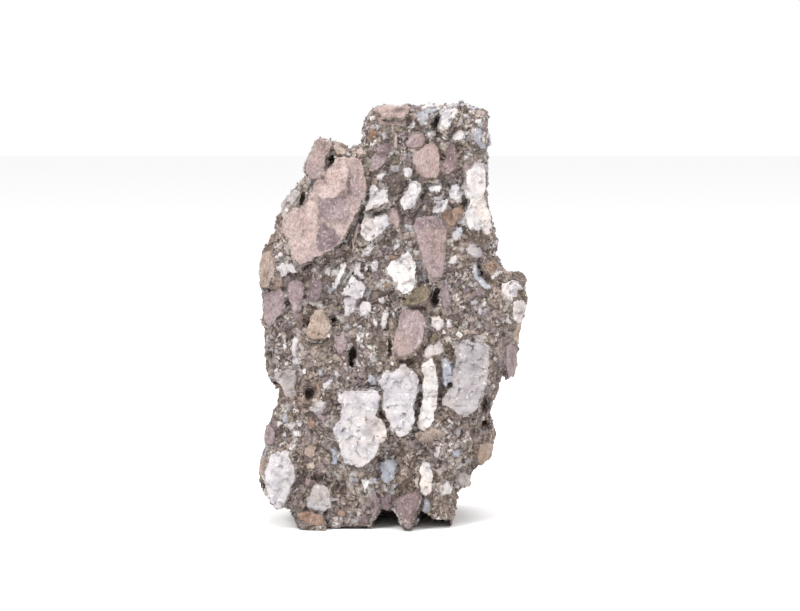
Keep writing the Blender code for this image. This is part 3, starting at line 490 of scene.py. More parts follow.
def far_clasts(tree, mesh, count, taken, rng):
    """Clasts strewn over the sides, the back and the top, which the front view hides."""
    faces = [f for f in mesh.faces if f.calc_area() > 1e-9]
    weights = [f.calc_area() for f in faces]
    result = []
    for face in rng.choices(faces, weights, k=count):
        corners = [v.co for v in face.verts]
        a, b = sorted((rng.random(), rng.random()))
        place = corners[0] * a + corners[1] * (b - a) + corners[2] * (1 - b)
        size = (1.1 + 11.0 * rng.random() ** 4.5) * MM
        kind = rng.choices(KINDS, KIND_WEIGHTS)[0]
        tint, proud = rng.uniform(-1, 1), rng.uniform(0.1, 1.0) * MM
        sides = rng.randint(5, 9)
        turn, long = rng.uniform(0, 6.3), rng.uniform(1.0, 2.0)
        radii = [rng.uniform(0.66, 1.2) for _ in range(sides)]
        normal = face.normal.copy()
        if place.z < 4 * MM and normal.z < -0.3:
            continue
        toward = (CAMERA_PLACE - place).normalized()
        if normal.dot(toward) > 0.15 and size > 3.0 * MM:
            hit = tree.ray_cast(CAMERA_PLACE, -toward)[0]
            if hit is not None and (hit - place).length < 2 * MM:
                continue
        if any((place - other).length < (size + width) * 0.8 for other, width in taken):
            continue
        near = [place]
        across = normal.orthogonal().normalized()
        other = normal.cross(across)
        for step in range(6):
            spoke = across * math.cos(step * 1.047) + other * math.sin(step * 1.047)
            hit = tree.ray_cast(place + spoke * size * 0.7 + normal * 5 * MM, -normal, 12 * MM)[0]
            if hit is not None:
                near.append(hit)
        if len(near) > 4:
            centre, normal = fitted_plane(near, normal)
        ring = []
        across = normal.orthogonal().normalized()
        other = normal.cross(across)
        for step in range(sides):
            angle = 2 * math.pi * step / sides
            arm = Vector((math.cos(angle) * long, math.sin(angle))) * radii[step] * size / math.sqrt(long)
            x = arm[0] * math.cos(turn) - arm[1] * math.sin(turn)
            y = arm[0] * math.sin(turn) + arm[1] * math.cos(turn)
            point = place + across * x + other * y
            hit = tree.ray_cast(point + normal * 4 * MM, -normal, 8 * MM)[0]
            if hit is None:
                break
            ring.append(point.lerp(hit, 0.5))
        if len(ring) < sides:
            continue
        taken.append((place, size))
        result.append(dict(kind=kind, seam=True, tint=tint, proud=proud, out=normal, ring=ring))
    return result


def all_clasts():
    """Every clast with its rim, in the order in which they are laid over each other."""
    rng = random.Random(SEED)
    mesh, tree = cad_surface()
    clasts = [c for c in (front_clast(tree, line) for line in FRONT_CLASTS) if c]
    taken = []
    for clast in clasts:
        centre = sum(clast["ring"], Vector()) / len(clast["ring"])
        reach = max((p - centre).length for p in clast["ring"])
        taken.append((centre, reach * 0.8))
    clasts = far_clasts(tree, mesh, bpy.context.scene.stone_sizes.far_clasts, taken, rng) + clasts
    for clast in clasts:
        out = clast["out"]
        clast["ring"] = ragged(clast["ring"], out, rng)
        clast["centre"] = sum(clast["ring"], Vector()) / len(clast["ring"])
        across = out.cross(Vector((0.0, 0.0, 1.0)))
        if across.length < 0.1:
            across = Vector((1.0, 0.0, 0.0))
        clast["across"] = (across - out * across.dot(out)).normalized()
        clast["up"] = out.cross(clast["across"])
        clast["lean"] = (rng.uniform(-0.10, 0.10), rng.uniform(-0.10, 0.10))
    mesh.free()
    return clasts


def flat_ring(clast):
    """The rim in the plane of the clast's face, as an array of two columns."""
    offsets = [p - clast["centre"] for p in clast["ring"]]
    return np.array([(o.dot(clast["across"]), o.dot(clast["up"])) for o in offsets])


def signed_distance(points, ring):
    """How far inside the ring each flat point lies, negative outside."""
    inside = np.zeros(len(points), bool)
    distance = np.full(len(points), 1.0)
    for a, b in zip(ring, np.roll(ring, -1, axis=0)):
        crosses = (a[1] > points[:, 1]) != (b[1] > points[:, 1])
        run = b[1] - a[1] if abs(b[1] - a[1]) > 1e-12 else 1e-12
        inside ^= crosses & (points[:, 0] < (b[0] - a[0]) * (points[:, 1] - a[1]) / run + a[0])
        side = b - a
        along = np.clip(((points - a) @ side) / max(side @ side, 1e-16), 0, 1)
        gap = points - a - along[:, None] * side
        distance = np.minimum(distance, gap[:, 0] ** 2 + gap[:, 1] ** 2)
    distance = np.sqrt(distance)
    return np.where(inside, distance, -distance)


# Rock body

def rock_relief(grain, relief):
    """Geometry nodes that keep each point's place as the attribute seat, and break the surface: the groundmass into
    grains, the clasts into facets."""
    tree = bpy.data.node_groups.new("rock_relief", "GeometryNodeTree")
    tree.interface.new_socket("Geometry", in_out="INPUT", socket_type="NodeSocketGeometry")
    tree.interface.new_socket("Geometry", in_out="OUTPUT", socket_type="NodeSocketGeometry")
    source = add(tree, "NodeGroupInput")
    place = add(tree, "GeometryNodeInputPosition").outputs[0]
    kept = add(tree, "GeometryNodeStoreNamedAttribute",
               {"Geometry": source.outputs[0], "Name": "seat", "Value": place},
               data_type="FLOAT_VECTOR", domain="POINT")
    wander = add(tree, "ShaderNodeTexNoise", {"Vector": place, "Scale": 450.0, "Detail": 3.0})
    bend = add(tree, "ShaderNodeVectorMath", {0: wander.outputs["Color"], 1: (0.5, 0.5, 0.5)}, operation="SUBTRACT")
    bend = add(tree, "ShaderNodeVectorMath", {0: bend.outputs[0], "Scale": WANDER}, operation="SCALE")
    bent = add(tree, "ShaderNodeVectorMath", {0: place, 1: bend.outputs[0]}, operation="ADD").outputs[0]

    cell = add(tree, "ShaderNodeTexVoronoi", {"Vector": bent, "Scale": 1 / grain})
    level = add(tree, "ShaderNodeSeparateXYZ", {0: cell.outputs["Color"]})
    edge = add(tree, "ShaderNodeTexVoronoi", {"Vector": bent, "Scale": 1 / grain}, feature="DISTANCE_TO_EDGE")
    small = add(tree, "ShaderNodeTexVoronoi", {"Vector": bent, "Scale": 1 / SMALL_GRAIN})
    small_level = add(tree, "ShaderNodeSeparateXYZ", {0: small.outputs["Color"]})
    large = add(tree, "ShaderNodeTexVoronoi", {"Vector": bent, "Scale": 1 / LARGE_GRAIN})
    large_level = add(tree, "ShaderNodeSeparateXYZ", {0: large.outputs["Color"]})
    large_step = add(tree, "ShaderNodeMapRange",
                     {"Value": large_level.outputs[1], "To Min": -relief * 0.6, "To Max": relief * 0.6})
    crevice = add(tree, "ShaderNodeMapRange",
                  {"Value": edge.outputs["Distance"], "From Min": 0.0, "From Max": 0.12,
                   "To Min": -relief * 0.8, "To Max": 0.0}, interpolation_type="SMOOTHSTEP")
    step = add(tree, "ShaderNodeMapRange",
               {"Value": level.outputs[0], "To Min": -relief, "To Max": relief * 0.4})
    small_step = add(tree, "ShaderNodeMapRange",
                     {"Value": small_level.outputs[1], "To Min": -relief * 0.5, "To Max": relief * 0.4})
    grains = add(tree, "ShaderNodeMath", {0: crevice.outputs[0], 1: step.outputs[0]}, operation="ADD")
    grains = add(tree, "ShaderNodeMath", {0: grains.outputs[0], 1: small_step.outputs[0]}, operation="ADD")
    grains = add(tree, "ShaderNodeMath", {0: grains.outputs[0], 1: large_step.outputs[0]}, operation="ADD")
    bare = add(tree, "GeometryNodeInputNamedAttribute", {"Name": "bare"}, data_type="FLOAT").outputs["Attribute"]
    grains = add(tree, "ShaderNodeMath", {0: grains.outputs[0], 1: bare}, operation="MULTIPLY")

    facet = add(tree, "GeometryNodeInputNamedAttribute", {"Name": "facet"}, data_type="FLOAT").outputs["Attribute"]
    plane = add(tree, "ShaderNodeTexVoronoi", {"Vector": bent, "Scale": 1 / FACET})
    spread = add(tree, "ShaderNodeVectorMath",
                 {0: plane.outputs["Color"], 1: (0.5, 0.5, 0.5)}, operation="SUBTRACT")
    arm = add(tree, "ShaderNodeVectorMath", {0: bent, 1: plane.outputs["Position"]}, operation="SUBTRACT")
    slope = add(tree, "ShaderNodeVectorMath", {0: spread.outputs[0], 1: arm.outputs[0]}, operation="DOT_PRODUCT")
    tilt = add(tree, "ShaderNodeMath", {0: slope.outputs["Value"], 1: 0.5}, operation="MULTIPLY")
    plane_level = add(tree, "ShaderNodeSeparateXYZ", {0: plane.outputs["Color"]})
    rise = add(tree, "ShaderNodeMapRange",
               {"Value": plane_level.outputs[2], "To Min": -0.28 * MM, "To Max": 0.22 * MM})
    planes = add(tree, "ShaderNodeMath", {0: tilt.outputs[0], 1: rise.outputs[0]}, operation="ADD")
    planes = add(tree, "ShaderNodeMath", {0: planes.outputs[0], 1: facet}, operation="MULTIPLY")

    lumps = add(tree, "ShaderNodeTexNoise", {"Vector": place, "Scale": 120.0, "Detail": 3.0})
    swell = add(tree, "ShaderNodeMapRange",
                {"Value": lumps.outputs[0], "From Min": 0.25, "From Max": 0.75,
                 "To Min": -0.5 * MM, "To Max": 0.4 * MM})
    fine = add(tree, "ShaderNodeTexNoise", {"Vector": place, "Scale": 800.0, "Detail": 2.0})
    grit = add(tree, "ShaderNodeMapRange",
               {"Value": fine.outputs[0], "From Min": 0.25, "From Max": 0.75,
                "To Min": -0.16 * MM, "To Max": 0.16 * MM})
    rim = add(tree, "GeometryNodeInputNamedAttribute", {"Name": "crevice"}, data_type="FLOAT").outputs["Attribute"]
    rim_depth = add(tree, "ShaderNodeMath", {0: rim, 1: -0.55 * MM}, operation="MULTIPLY")
    height = grains
    for part in (planes, swell, grit, rim_depth):
        height = add(tree, "ShaderNodeMath", {0: height.outputs[0], 1: part.outputs[0]}, operation="ADD")
    normal = add(tree, "GeometryNodeInputNormal")
    offset = add(tree, "ShaderNodeVectorMath",
                 {0: normal.outputs[0], "Scale": height.outputs[0]}, operation="SCALE")
    # How far the relief sinks below the surface, kept as the attribute hollow, which the material turns into painted
    # shade.
    deep = add(tree, "ShaderNodeMapRange",
               {"Value": height.outputs[0], "From Min": -relief * 2.4, "From Max": -relief * 0.7,
                "To Min": 1.0, "To Max": 0.0})
    moved = add(tree, "GeometryNodeSetPosition", {"Geometry": kept.outputs[0], "Offset": offset.outputs[0]})
    noted = add(tree, "GeometryNodeStoreNamedAttribute",
                {"Geometry": moved.outputs[0], "Name": "hollow", "Value": deep.outputs[0]},
                data_type="FLOAT", domain="POINT")
    add(tree, "NodeGroupOutput", {0: noted.outputs[0]})
    return tree


def clast_block(clast, points, faces):
    """Adds one clast as a closed block: root, rim, a bevel and a slightly crowned face."""
    ring, out, centre = clast["ring"], clast["out"], clast["centre"]
    size = sum((p - centre).length for p in ring) / len(ring)
    lean = clast["across"] * clast["lean"][0] + clast["up"] * clast["lean"][1]
    bevel = min(BEVEL, 0.2 * size)

    def level(scale, height, tilt=1.0):
        start = len(points)
        for p in ring:
            q = centre + (p - centre) * scale
            points.append(q + out * (height + (q - centre).dot(lean) * tilt))
        return start
    count = len(ring)
    rings = [level(0.72, -ROOT, 0), level(1.0, -0.3 * ROOT), level(1.0, clast["proud"] - bevel),
             level(1 - bevel / size, clast["proud"])]
    top, bottom = len(points), len(points) + 1
    points.append(centre + out * (clast["proud"] + min(0.05 * size, 0.6 * MM)))
    points.append(centre - out * ROOT)
    for low, high in zip(rings, rings[1:]):
        for i in range(count):
            j = (i + 1) % count
            faces.append((low + i, low + j, high + j, high + i))
    for i in range(count):
        j = (i + 1) % count
        faces.append((rings[-1] + i, rings[-1] + j, top))
        faces.append((rings[0] + j, rings[0] + i, bottom))


def cells_of(co):
    """The points of each small cube of space, by the cube's place."""
    index = np.floor(co / CELL).astype(int)
    order = np.lexsort((index[:, 2], index[:, 1], index[:, 0]))
    starts = np.nonzero(np.any(np.diff(index[order], axis=0) != 0, axis=1))[0] + 1
    return {tuple(index[part[0]]): part for part in np.split(order, starts)}


def points_near(cells, centre, reach):
    low = np.floor((centre - reach) / CELL).astype(int)
    high = np.floor((centre + reach) / CELL).astype(int)
    found = [cells[key] for key in itertools.product(*(range(a, b + 1) for a, b in zip(low, high)))
             if key in cells]
    return np.concatenate(found) if found else np.zeros(0, int)


def paint_clasts(obj, clasts):
    """Notes on each point which clast it lies in: per kind the distance inside the rim in millimetres, the clast's
    tint, the crevice at its rim, how bare of clasts the place is and how strongly it breaks into facets."""
    co, no = coordinates(obj), normals(obj)
    depth = {kind: np.full(len(co), -FAR_FROM_RIM) for kind in KINDS}
    tint, crevice, facet = np.zeros(len(co)), np.zeros(len(co)), np.zeros(len(co))
    cells = cells_of(co)
    for clast in clasts:
        centre, out = np.array(clast["centre"]), np.array(clast["out"])
        ring = flat_ring(clast)
        reach = np.linalg.norm(ring, axis=1).max() + FAR_FROM_RIM * MM
        near = points_near(cells, centre, reach)
        near = near[(no[near] @ out > 0.0) & (np.abs((co[near] - centre) @ out) < PAINT_DEPTH)]
        if not len(near):
            continue
        offset = co[near] - centre
        flat = np.stack([offset @ np.array(clast["across"]), offset @ np.array(clast["up"])], 1)
        signed = np.clip(signed_distance(flat, ring) / MM, -FAR_FROM_RIM, FAR_FROM_RIM)
        within = np.clip(signed / 0.4 + 0.5, 0, 1)
        for kind in KINDS:
            if kind == clast["kind"]:
                depth[kind][near] = np.maximum(depth[kind][near], signed)
            else:
                depth[kind][near] = np.minimum(depth[kind][near], -signed)
        tint[near] += (clast["tint"] - tint[near]) * within
        facet[near] += (KIND_FACETS[clast["kind"]] - facet[near]) * within
        crevice[near] *= 1 - within
        if clast["seam"]:
            crevice[near] = np.maximum(crevice[near], 1 - np.abs(signed) / CREVICE_HALF)
    for kind in KINDS:
        store(obj, "in_" + KIND_NAMES[kind], depth[kind])
    store(obj, "tint", tint)
    store(obj, "facet", facet)
    store(obj, "crevice", np.clip(crevice, 0, 1))
    store(obj, "bare", np.clip(-np.max(list(depth.values()), axis=0) / 0.8 + 0.5, 0, 1))


def sink_hollows(obj):
    """Pushes the small hollows of the front in, and notes them in the attribute hollow, which the material turns into
    painted shade.
    """
    co, no = coordinates(obj), normals(obj)
    hollow = np.empty(len(co), np.float32)
    obj.data.attributes["hollow"].data.foreach_get("value", hollow)
    step = SENSOR / LENS / FRAME_WIDTH
    local = (co - np.array(CAMERA_PLACE)) @ np.array(CAMERA_TURN)
    column = FRAME_WIDTH / 2 - local[:, 0] / local[:, 2] / step
    row = FRAME_HEIGHT / 2 + local[:, 1] / local[:, 2] / step
    front = (no[:, 1] < 0.1) & (co[:, 1] < 0.012)
    for x, y, wide, high, depth in FRONT_HOLLOWS:
        away = np.sqrt(((column - x) / (wide + 0.8)) ** 2 + ((row - y) / (high + 0.8)) ** 2)
        pull = np.where(front, np.clip(1.25 - away, 0, 1), 0)
        co[:, 1] += pull * depth * 0.7 * MM
        hollow = np.maximum(hollow, np.clip(pull * 1.3, 0, 0.9))
    co[:, 2] = np.maximum(co[:, 2], FLOOR_GAP)
    set_coordinates(obj, co)
    store(obj, "hollow", hollow)


def keep_within(obj, low, high):
    """Keeps what lies in the upright box between the two corners, and closes the rock where it is cut."""
    deselect()
    low, high = Vector(low), Vector(high)
    bpy.ops.mesh.primitive_cube_add(size=1.0, location=(low + high) / 2)
    box = bpy.context.object
    box.dimensions = high - low
    bpy.ops.object.transform_apply(location=False, rotation=False, scale=True)
    bpy.ops.object.mode_set(mode="EDIT")
    bpy.ops.mesh.subdivide(number_cuts=CUT_CELLS - 1)
    bpy.ops.object.mode_set(mode="OBJECT")
    apply_modifier(obj, "BOOLEAN", operation="INTERSECT", object=box, solver="MANIFOLD")
    mesh = box.data
    bpy.data.objects.remove(box)
    bpy.data.meshes.remove(mesh)


class STONE_OT_rock_body(bpy.types.Operator):
    """Make the broken rock: groundmass with its clasts set in it, as three bands of front and a back"""
    bl_idname = "stone.rock_body"
    bl_label = "Rock body"

    def execute(self, context):
        sizes = context.scene.stone_sizes
        clasts = all_clasts()
        points, faces = [], []
        for clast in clasts:
            clast_block(clast, points, faces)
        blocks = bpy.data.meshes.new("blocks")
        blocks.from_pydata(points, [], faces)
        relief = rock_relief(sizes.grain, sizes.relief)
        material = breccia_material()
        for in_front, step in ((True, sizes.front_step), (False, sizes.back_step)):
            obj = bpy.data.objects.new("rock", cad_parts[NODE].data.copy())
            context.scene.collection.objects.link(obj)
            pick(obj)
            bpy.ops.object.mode_set(mode="EDIT")
            bpy.ops.mesh.select_all(action="SELECT")
            bpy.ops.mesh.remove_doubles(threshold=1e-7)
            bpy.ops.object.mode_set(mode="OBJECT")
            inlay = bpy.data.objects.new("inlay", blocks.copy())
            context.scene.collection.objects.link(inlay)
            pick(inlay)
            bpy.ops.object.mode_set(mode="EDIT")
            bpy.ops.mesh.select_all(action="SELECT")
            bpy.ops.mesh.normals_make_consistent(inside=False)
            bpy.ops.object.mode_set(mode="OBJECT")
            pick(obj)
            inlay.select_set(True)
            bpy.ops.object.join()
            apply_modifier(obj, "REMESH", mode="VOXEL", voxel_size=step)
            paint_clasts(obj, clasts)
            apply_modifier(obj, "NODES", node_group=relief)
            sink_hollows(obj)
            for name, front_part, low, high in ROCK_PARTS:
                if front_part != in_front:
                    continue
                part = bpy.data.objects.new(name, obj.data.copy())
                context.scene.collection.objects.link(part)
                foremost = BOX_LOW.y if in_front else CUT_PLACE - CUT_OVERLAP
                hindmost = CUT_PLACE + CUT_OVERLAP if in_front else BOX_HIGH.y
                keep_within(part, (BOX_LOW.x, foremost, low), (BOX_HIGH.x, hindmost, high))
                pick(part)
                bpy.ops.object.shade_smooth_by_angle(angle=math.radians(40))
                belongs(part, material)
            whole = obj.data
            bpy.data.objects.remove(obj)
            bpy.data.meshes.remove(whole)
        bpy.data.meshes.remove(blocks)
        return {"FINISHED"}


# Chips

def chip_shapes(rng):
    """Eight angular shards, each a small block cut by slanting planes."""
    shapes = []
    for number in range(8):
        deselect()
        bpy.ops.mesh.primitive_cube_add(size=1.0)
        obj = bpy.context.object
        bpy.ops.object.mode_set(mode="EDIT")
        for _ in range(4):
            bpy.ops.mesh.select_all(action="SELECT")
            way = Vector([rng.gauss(0, 1) for _ in range(3)]).normalized()
            bpy.ops.mesh.bisect(plane_co=way * rng.uniform(0.28, 0.42), plane_no=way,
                                use_fill=True, clear_outer=True)
        bpy.ops.mesh.select_all(action="SELECT")
        bpy.ops.mesh.remove_doubles(threshold=0.02)
        bpy.ops.mesh.quads_convert_to_tris()
        bpy.ops.mesh.normals_make_consistent(inside=False)
        bpy.ops.object.mode_set(mode="OBJECT")
        mesh = obj.data
        faces = np.array([tuple(p.vertices) for p in mesh.polygons])
        shapes.append((coordinates(obj), faces))
        bpy.data.objects.remove(obj)
        bpy.data.meshes.remove(mesh)
    return shapes


def bare_places(objs, count, rng):
    """Points on the groundmass between the clasts, with the outward normal there."""
    corners, areas, outward = [], [], []
    for obj in objs:
        mesh = obj.data
        mesh.calc_loop_triangles()
        index = np.empty(len(mesh.loop_triangles) * 3, np.int32)
        mesh.loop_triangles.foreach_get("vertices", index)
        index = index.reshape(-1, 3)
        co = coordinates(obj)
        bare = np.empty(len(co), np.float32)
        mesh.attributes["bare"].data.foreach_get("value", bare)
        part = co[index]
        normal = np.cross(part[:, 1] - part[:, 0], part[:, 2] - part[:, 0])
        area = np.linalg.norm(normal, axis=1)
        normal /= np.maximum(area, 1e-12)[:, None]
        free = (bare[index].min(1) > 0.8) & (part[:, :, 2].min(1) > 1.6 * MM) & (normal[:, 2] > -0.75)
        free &= np.abs(part[:, :, 1].mean(1) - CUT_PLACE) > 2 * CUT_OVERLAP
        for height in BAND_HEIGHTS:
            free &= np.abs(part[:, :, 2] - height).max(1) > 0.01 * MM
        corners.append(part)
        areas.append(area * free)
        outward.append(normal)
    corners, areas, outward = map(np.concatenate, (corners, areas, outward))
    chosen = rng.choice(len(corners), count, p=areas / areas.sum())
    weight = rng.dirichlet((1, 1, 1), count)
    return (corners[chosen] * weight[:, :, None]).sum(1), outward[chosen]


class STONE_OT_chips(bpy.types.Operator):
    """Strew small angular chips over the groundmass between the clasts"""
    bl_idname = "stone.chips"
    bl_label = "Chips"

    def execute(self, context):
        bodies = [bpy.data.objects.get(part[0]) for part in ROCK_PARTS]
        if None in bodies:
            raise RuntimeError("make the rock body first")
        rng = np.random.default_rng(SEED)
        shapes = chip_shapes(random.Random(SEED + 1))
        places, outward = bare_places(bodies, context.scene.stone_sizes.chips, rng)
        width = (1.0 + 2.4 * rng.random(len(places)) ** 2.2) * MM
        kinds = rng.choice(len(CHIP_NAMES), len(places), p=CHIP_WEIGHTS)
        books = [([], [], []) for _ in CHIP_NAMES]
        counts = [0] * len(CHIP_NAMES)
        for place, out, size, kind in zip(places, outward, width, kinds):
            shape, shape_faces = shapes[rng.integers(len(shapes))]
            turn = Vector(out + rng.normal(0, 0.3, 3)).to_track_quat("Z", "Y").to_matrix()
            turn = np.array(turn @ Matrix.Rotation(rng.uniform(0, 6.3), 3, "Z"))
            scale = size * np.array([1.0, rng.uniform(0.5, 1.0), rng.uniform(0.4, 0.7)])
            block = (shape * scale) @ turn.T + place - out * size * 0.12
            points, faces, tints = books[kind]
            points.append(block)
            faces.append(shape_faces + counts[kind])
            tints.append(np.full(len(block), rng.random()))
            counts[kind] += len(block)
        materials = (pale_chip_material(), grey_chip_material(), brown_chip_material(), mauve_chip_material())
        for name, (points, faces, tints), material in zip(CHIP_NAMES, books, materials):
            points = np.concatenate(points)
            points[:, 2] = np.maximum(points[:, 2], FLOOR_GAP)
            mesh = bpy.data.meshes.new(name)
            mesh.from_pydata(points, [], np.concatenate(faces))
            obj = bpy.data.objects.new(name, mesh)
            context.scene.collection.objects.link(obj)
            store(obj, "tint", np.concatenate(tints))
            belongs(obj, material)
        return {"FINISHED"}


# Materials

def new_material(name):
    material = bpy.data.materials.new(name)
    material.use_nodes = True
    material.node_tree.nodes.clear()
    return material, material.node_tree


def shifted(base, code, amount):
    """A colour between the given base and a hex colour."""
    other = linear(code)
    return tuple(base[i] * (1 - amount) + other[i] * amount for i in range(3)) + (1.0,)


def groundmass_shade(tree, seat, bent):
    """Angular grains of every rock of the clasts in three sizes, in a brown cement that shows as thin dark lines."""
    base = bpy.context.scene.stone_colours.groundmass
    grain = bpy.context.scene.stone_sizes.grain
    parts = []
    for size in (LARGE_GRAIN, grain, SMALL_GRAIN):
        cells = add(tree, "ShaderNodeTexVoronoi", {"Vector": bent, "Scale": 1 / size})
        parts.append(add(tree, "ShaderNodeSeparateColor", {0: cells.outputs["Color"]}))
    coarse = add(tree, "ShaderNodeValToRGB", {0: parts[0].outputs[1]}, stops=[
        (0.0, shifted(base, "#8f817a", 0.9)), (0.2, shifted(base, "#a89b96", 0.9)),
        (0.4, shifted(base, "#b6a8a3", 0.9)), (0.55, shifted(base, "#9b8d90", 0.8)),
        (0.68, shifted(base, "#bdb6b1", 1.0)), (0.82, shifted(base, "#d4d0ce", 1.0))], stepped=True).outputs[0]
    middle = add(tree, "ShaderNodeValToRGB", {0: parts[1].outputs[1]}, stops=[
        (0.0, shifted(base, "#75675f", 0.9)), (0.16, shifted(base, "#ab9d97", 0.9)),
        (0.32, shifted(base, "#bfb1ab", 0.9)), (0.46, shifted(base, "#998b8f", 0.8)),
        (0.56, shifted(base, "#b0a497", 0.9)), (0.7, shifted(base, "#c6c1be", 1.0)),
        (0.84, shifted(base, "#e4e1df", 1.0)), (0.94, shifted(base, "#c3c6ce", 1.0))], stepped=True).outputs[0]
    fine = add(tree, "ShaderNodeValToRGB", {0: parts[2].outputs[0]}, stops=[
        (0.0, shifted(base, "#62544b", 0.9)), (0.17, shifted(base, "#9a8c86", 1.0)),
        (0.38, shifted(base, "#b5a7a0", 1.0)), (0.54, shifted(base, "#b1a698", 1.0)),
        (0.66, shifted(base, "#978a8f", 1.0)), (0.76, shifted(base, "#c9c0ba", 1.0)),
        (0.88, shifted(base, "#eae7e4", 1.0))], stepped=True).outputs[0]
    use_middle = add(tree, "ShaderNodeMath", {0: parts[0].outputs[2], 1: 0.3}, operation="GREATER_THAN")
    use_fine = add(tree, "ShaderNodeMath", {0: parts[1].outputs[2], 1: 0.55}, operation="GREATER_THAN")
    shade = add(tree, "ShaderNodeMix", {0: use_middle.outputs[0], 6: coarse, 7: middle}, data_type="RGBA").outputs[2]
    shade = add(tree, "ShaderNodeMix", {0: use_fine.outputs[0], 6: shade, 7: fine}, data_type="RGBA").outputs[2]
    soft = add(tree, "ShaderNodeTexNoise", {"Vector": seat, "Scale": 330.0, "Detail": 4.0})
    mottle = add(tree, "ShaderNodeValToRGB", {0: soft.outputs[0]}, stops=[
        (0.35, colour("#a39a94")), (0.5, colour("#e8e5e3")), (0.65, colour("#ffffff"))])
    shade = add(tree, "ShaderNodeMix", {0: 0.8, 6: shade, 7: mottle.outputs[0]},
                data_type="RGBA", blend_type="MULTIPLY").outputs[2]
    edge = add(tree, "ShaderNodeTexVoronoi", {"Vector": bent, "Scale": 1 / grain}, feature="DISTANCE_TO_EDGE")
    line = add(tree, "ShaderNodeMapRange", {"Value": edge.outputs["Distance"], "From Max": 0.08,
                                            "To Min": 0.7, "To Max": 0.0})
    some = add(tree, "ShaderNodeTexNoise", {"Vector": seat, "Scale": 170.0})
    broken = add(tree, "ShaderNodeMapRange", {"Value": some.outputs[0], "From Min": 0.46, "From Max": 0.6})
    line = add(tree, "ShaderNodeMath", {0: line.outputs[0], 1: broken.outputs[0]}, operation="MULTIPLY")
    return add(tree, "ShaderNodeMix", {0: line.outputs[0], 6: shade, 7: colour("#4f4139")},
               data_type="RGBA").outputs[2]


def clast_shade(tree, seat, tint, base, low, high, patches, flecks, veins):
    """A rock with its tint from clast to clast, soft patches, flecks and thin veins.

    patches: width, pale and deep multiplying colour. flecks: width, share, colour. veins: width, strength, colour."""
    way = add(tree, "ShaderNodeMapRange", {"Value": tint, "From Min": -1.0, "From Max": 1.0})
    shade = add(tree, "ShaderNodeValToRGB", {0: way.outputs[0]}, stops=[
        (0.0, colour(low)), (0.5, (*base, 1.0)), (1.0, colour(high))]).outputs[0]
    width, pale, deep = patches
    cloud = add(tree, "ShaderNodeTexNoise",
                {"Vector": seat, "Scale": 1 / width, "Detail": 5.0, "Roughness": 0.62})
    mottle = add(tree, "ShaderNodeValToRGB", {0: cloud.outputs[0]}, stops=[
        (0.33, colour(deep)), (0.5, colour("#f0eeee")), (0.66, colour(pale))])
    shade = add(tree, "ShaderNodeMix", {0: 1.0, 6: shade, 7: mottle.outputs[0]},
                data_type="RGBA", blend_type="MULTIPLY").outputs[2]
    width, share, fleck = flecks
    cells = add(tree, "ShaderNodeTexNoise", {"Vector": seat, "Scale": 1 / width, "Detail": 2.0})
    some = add(tree, "ShaderNodeMapRange", {"Value": cells.outputs[0], "From Min": 0.66 - share * 0.3,
                                            "From Max": 0.72 - share * 0.3, "To Max": 0.7})
    shade = add(tree, "ShaderNodeMix", {0: some.outputs[0], 6: shade, 7: colour(fleck)}, data_type="RGBA").outputs[2]
    width, strength, vein = veins
    level = add(tree, "ShaderNodeTexNoise", {"Vector": seat, "Scale": 1 / width, "Detail": 3.0})
    away = add(tree, "ShaderNodeMath", {0: level.outputs[0], 1: 0.5}, operation="SUBTRACT")
    away = add(tree, "ShaderNodeMath", {0: away.outputs[0]}, operation="ABSOLUTE")
    line = add(tree, "ShaderNodeMapRange", {"Value": away.outputs[0], "From Max": 0.018,
                                            "To Min": strength, "To Max": 0.0})
    return add(tree, "ShaderNodeMix", {0: line.outputs[0], 6: shade, 7: colour(vein)}, data_type="RGBA").outputs[2]


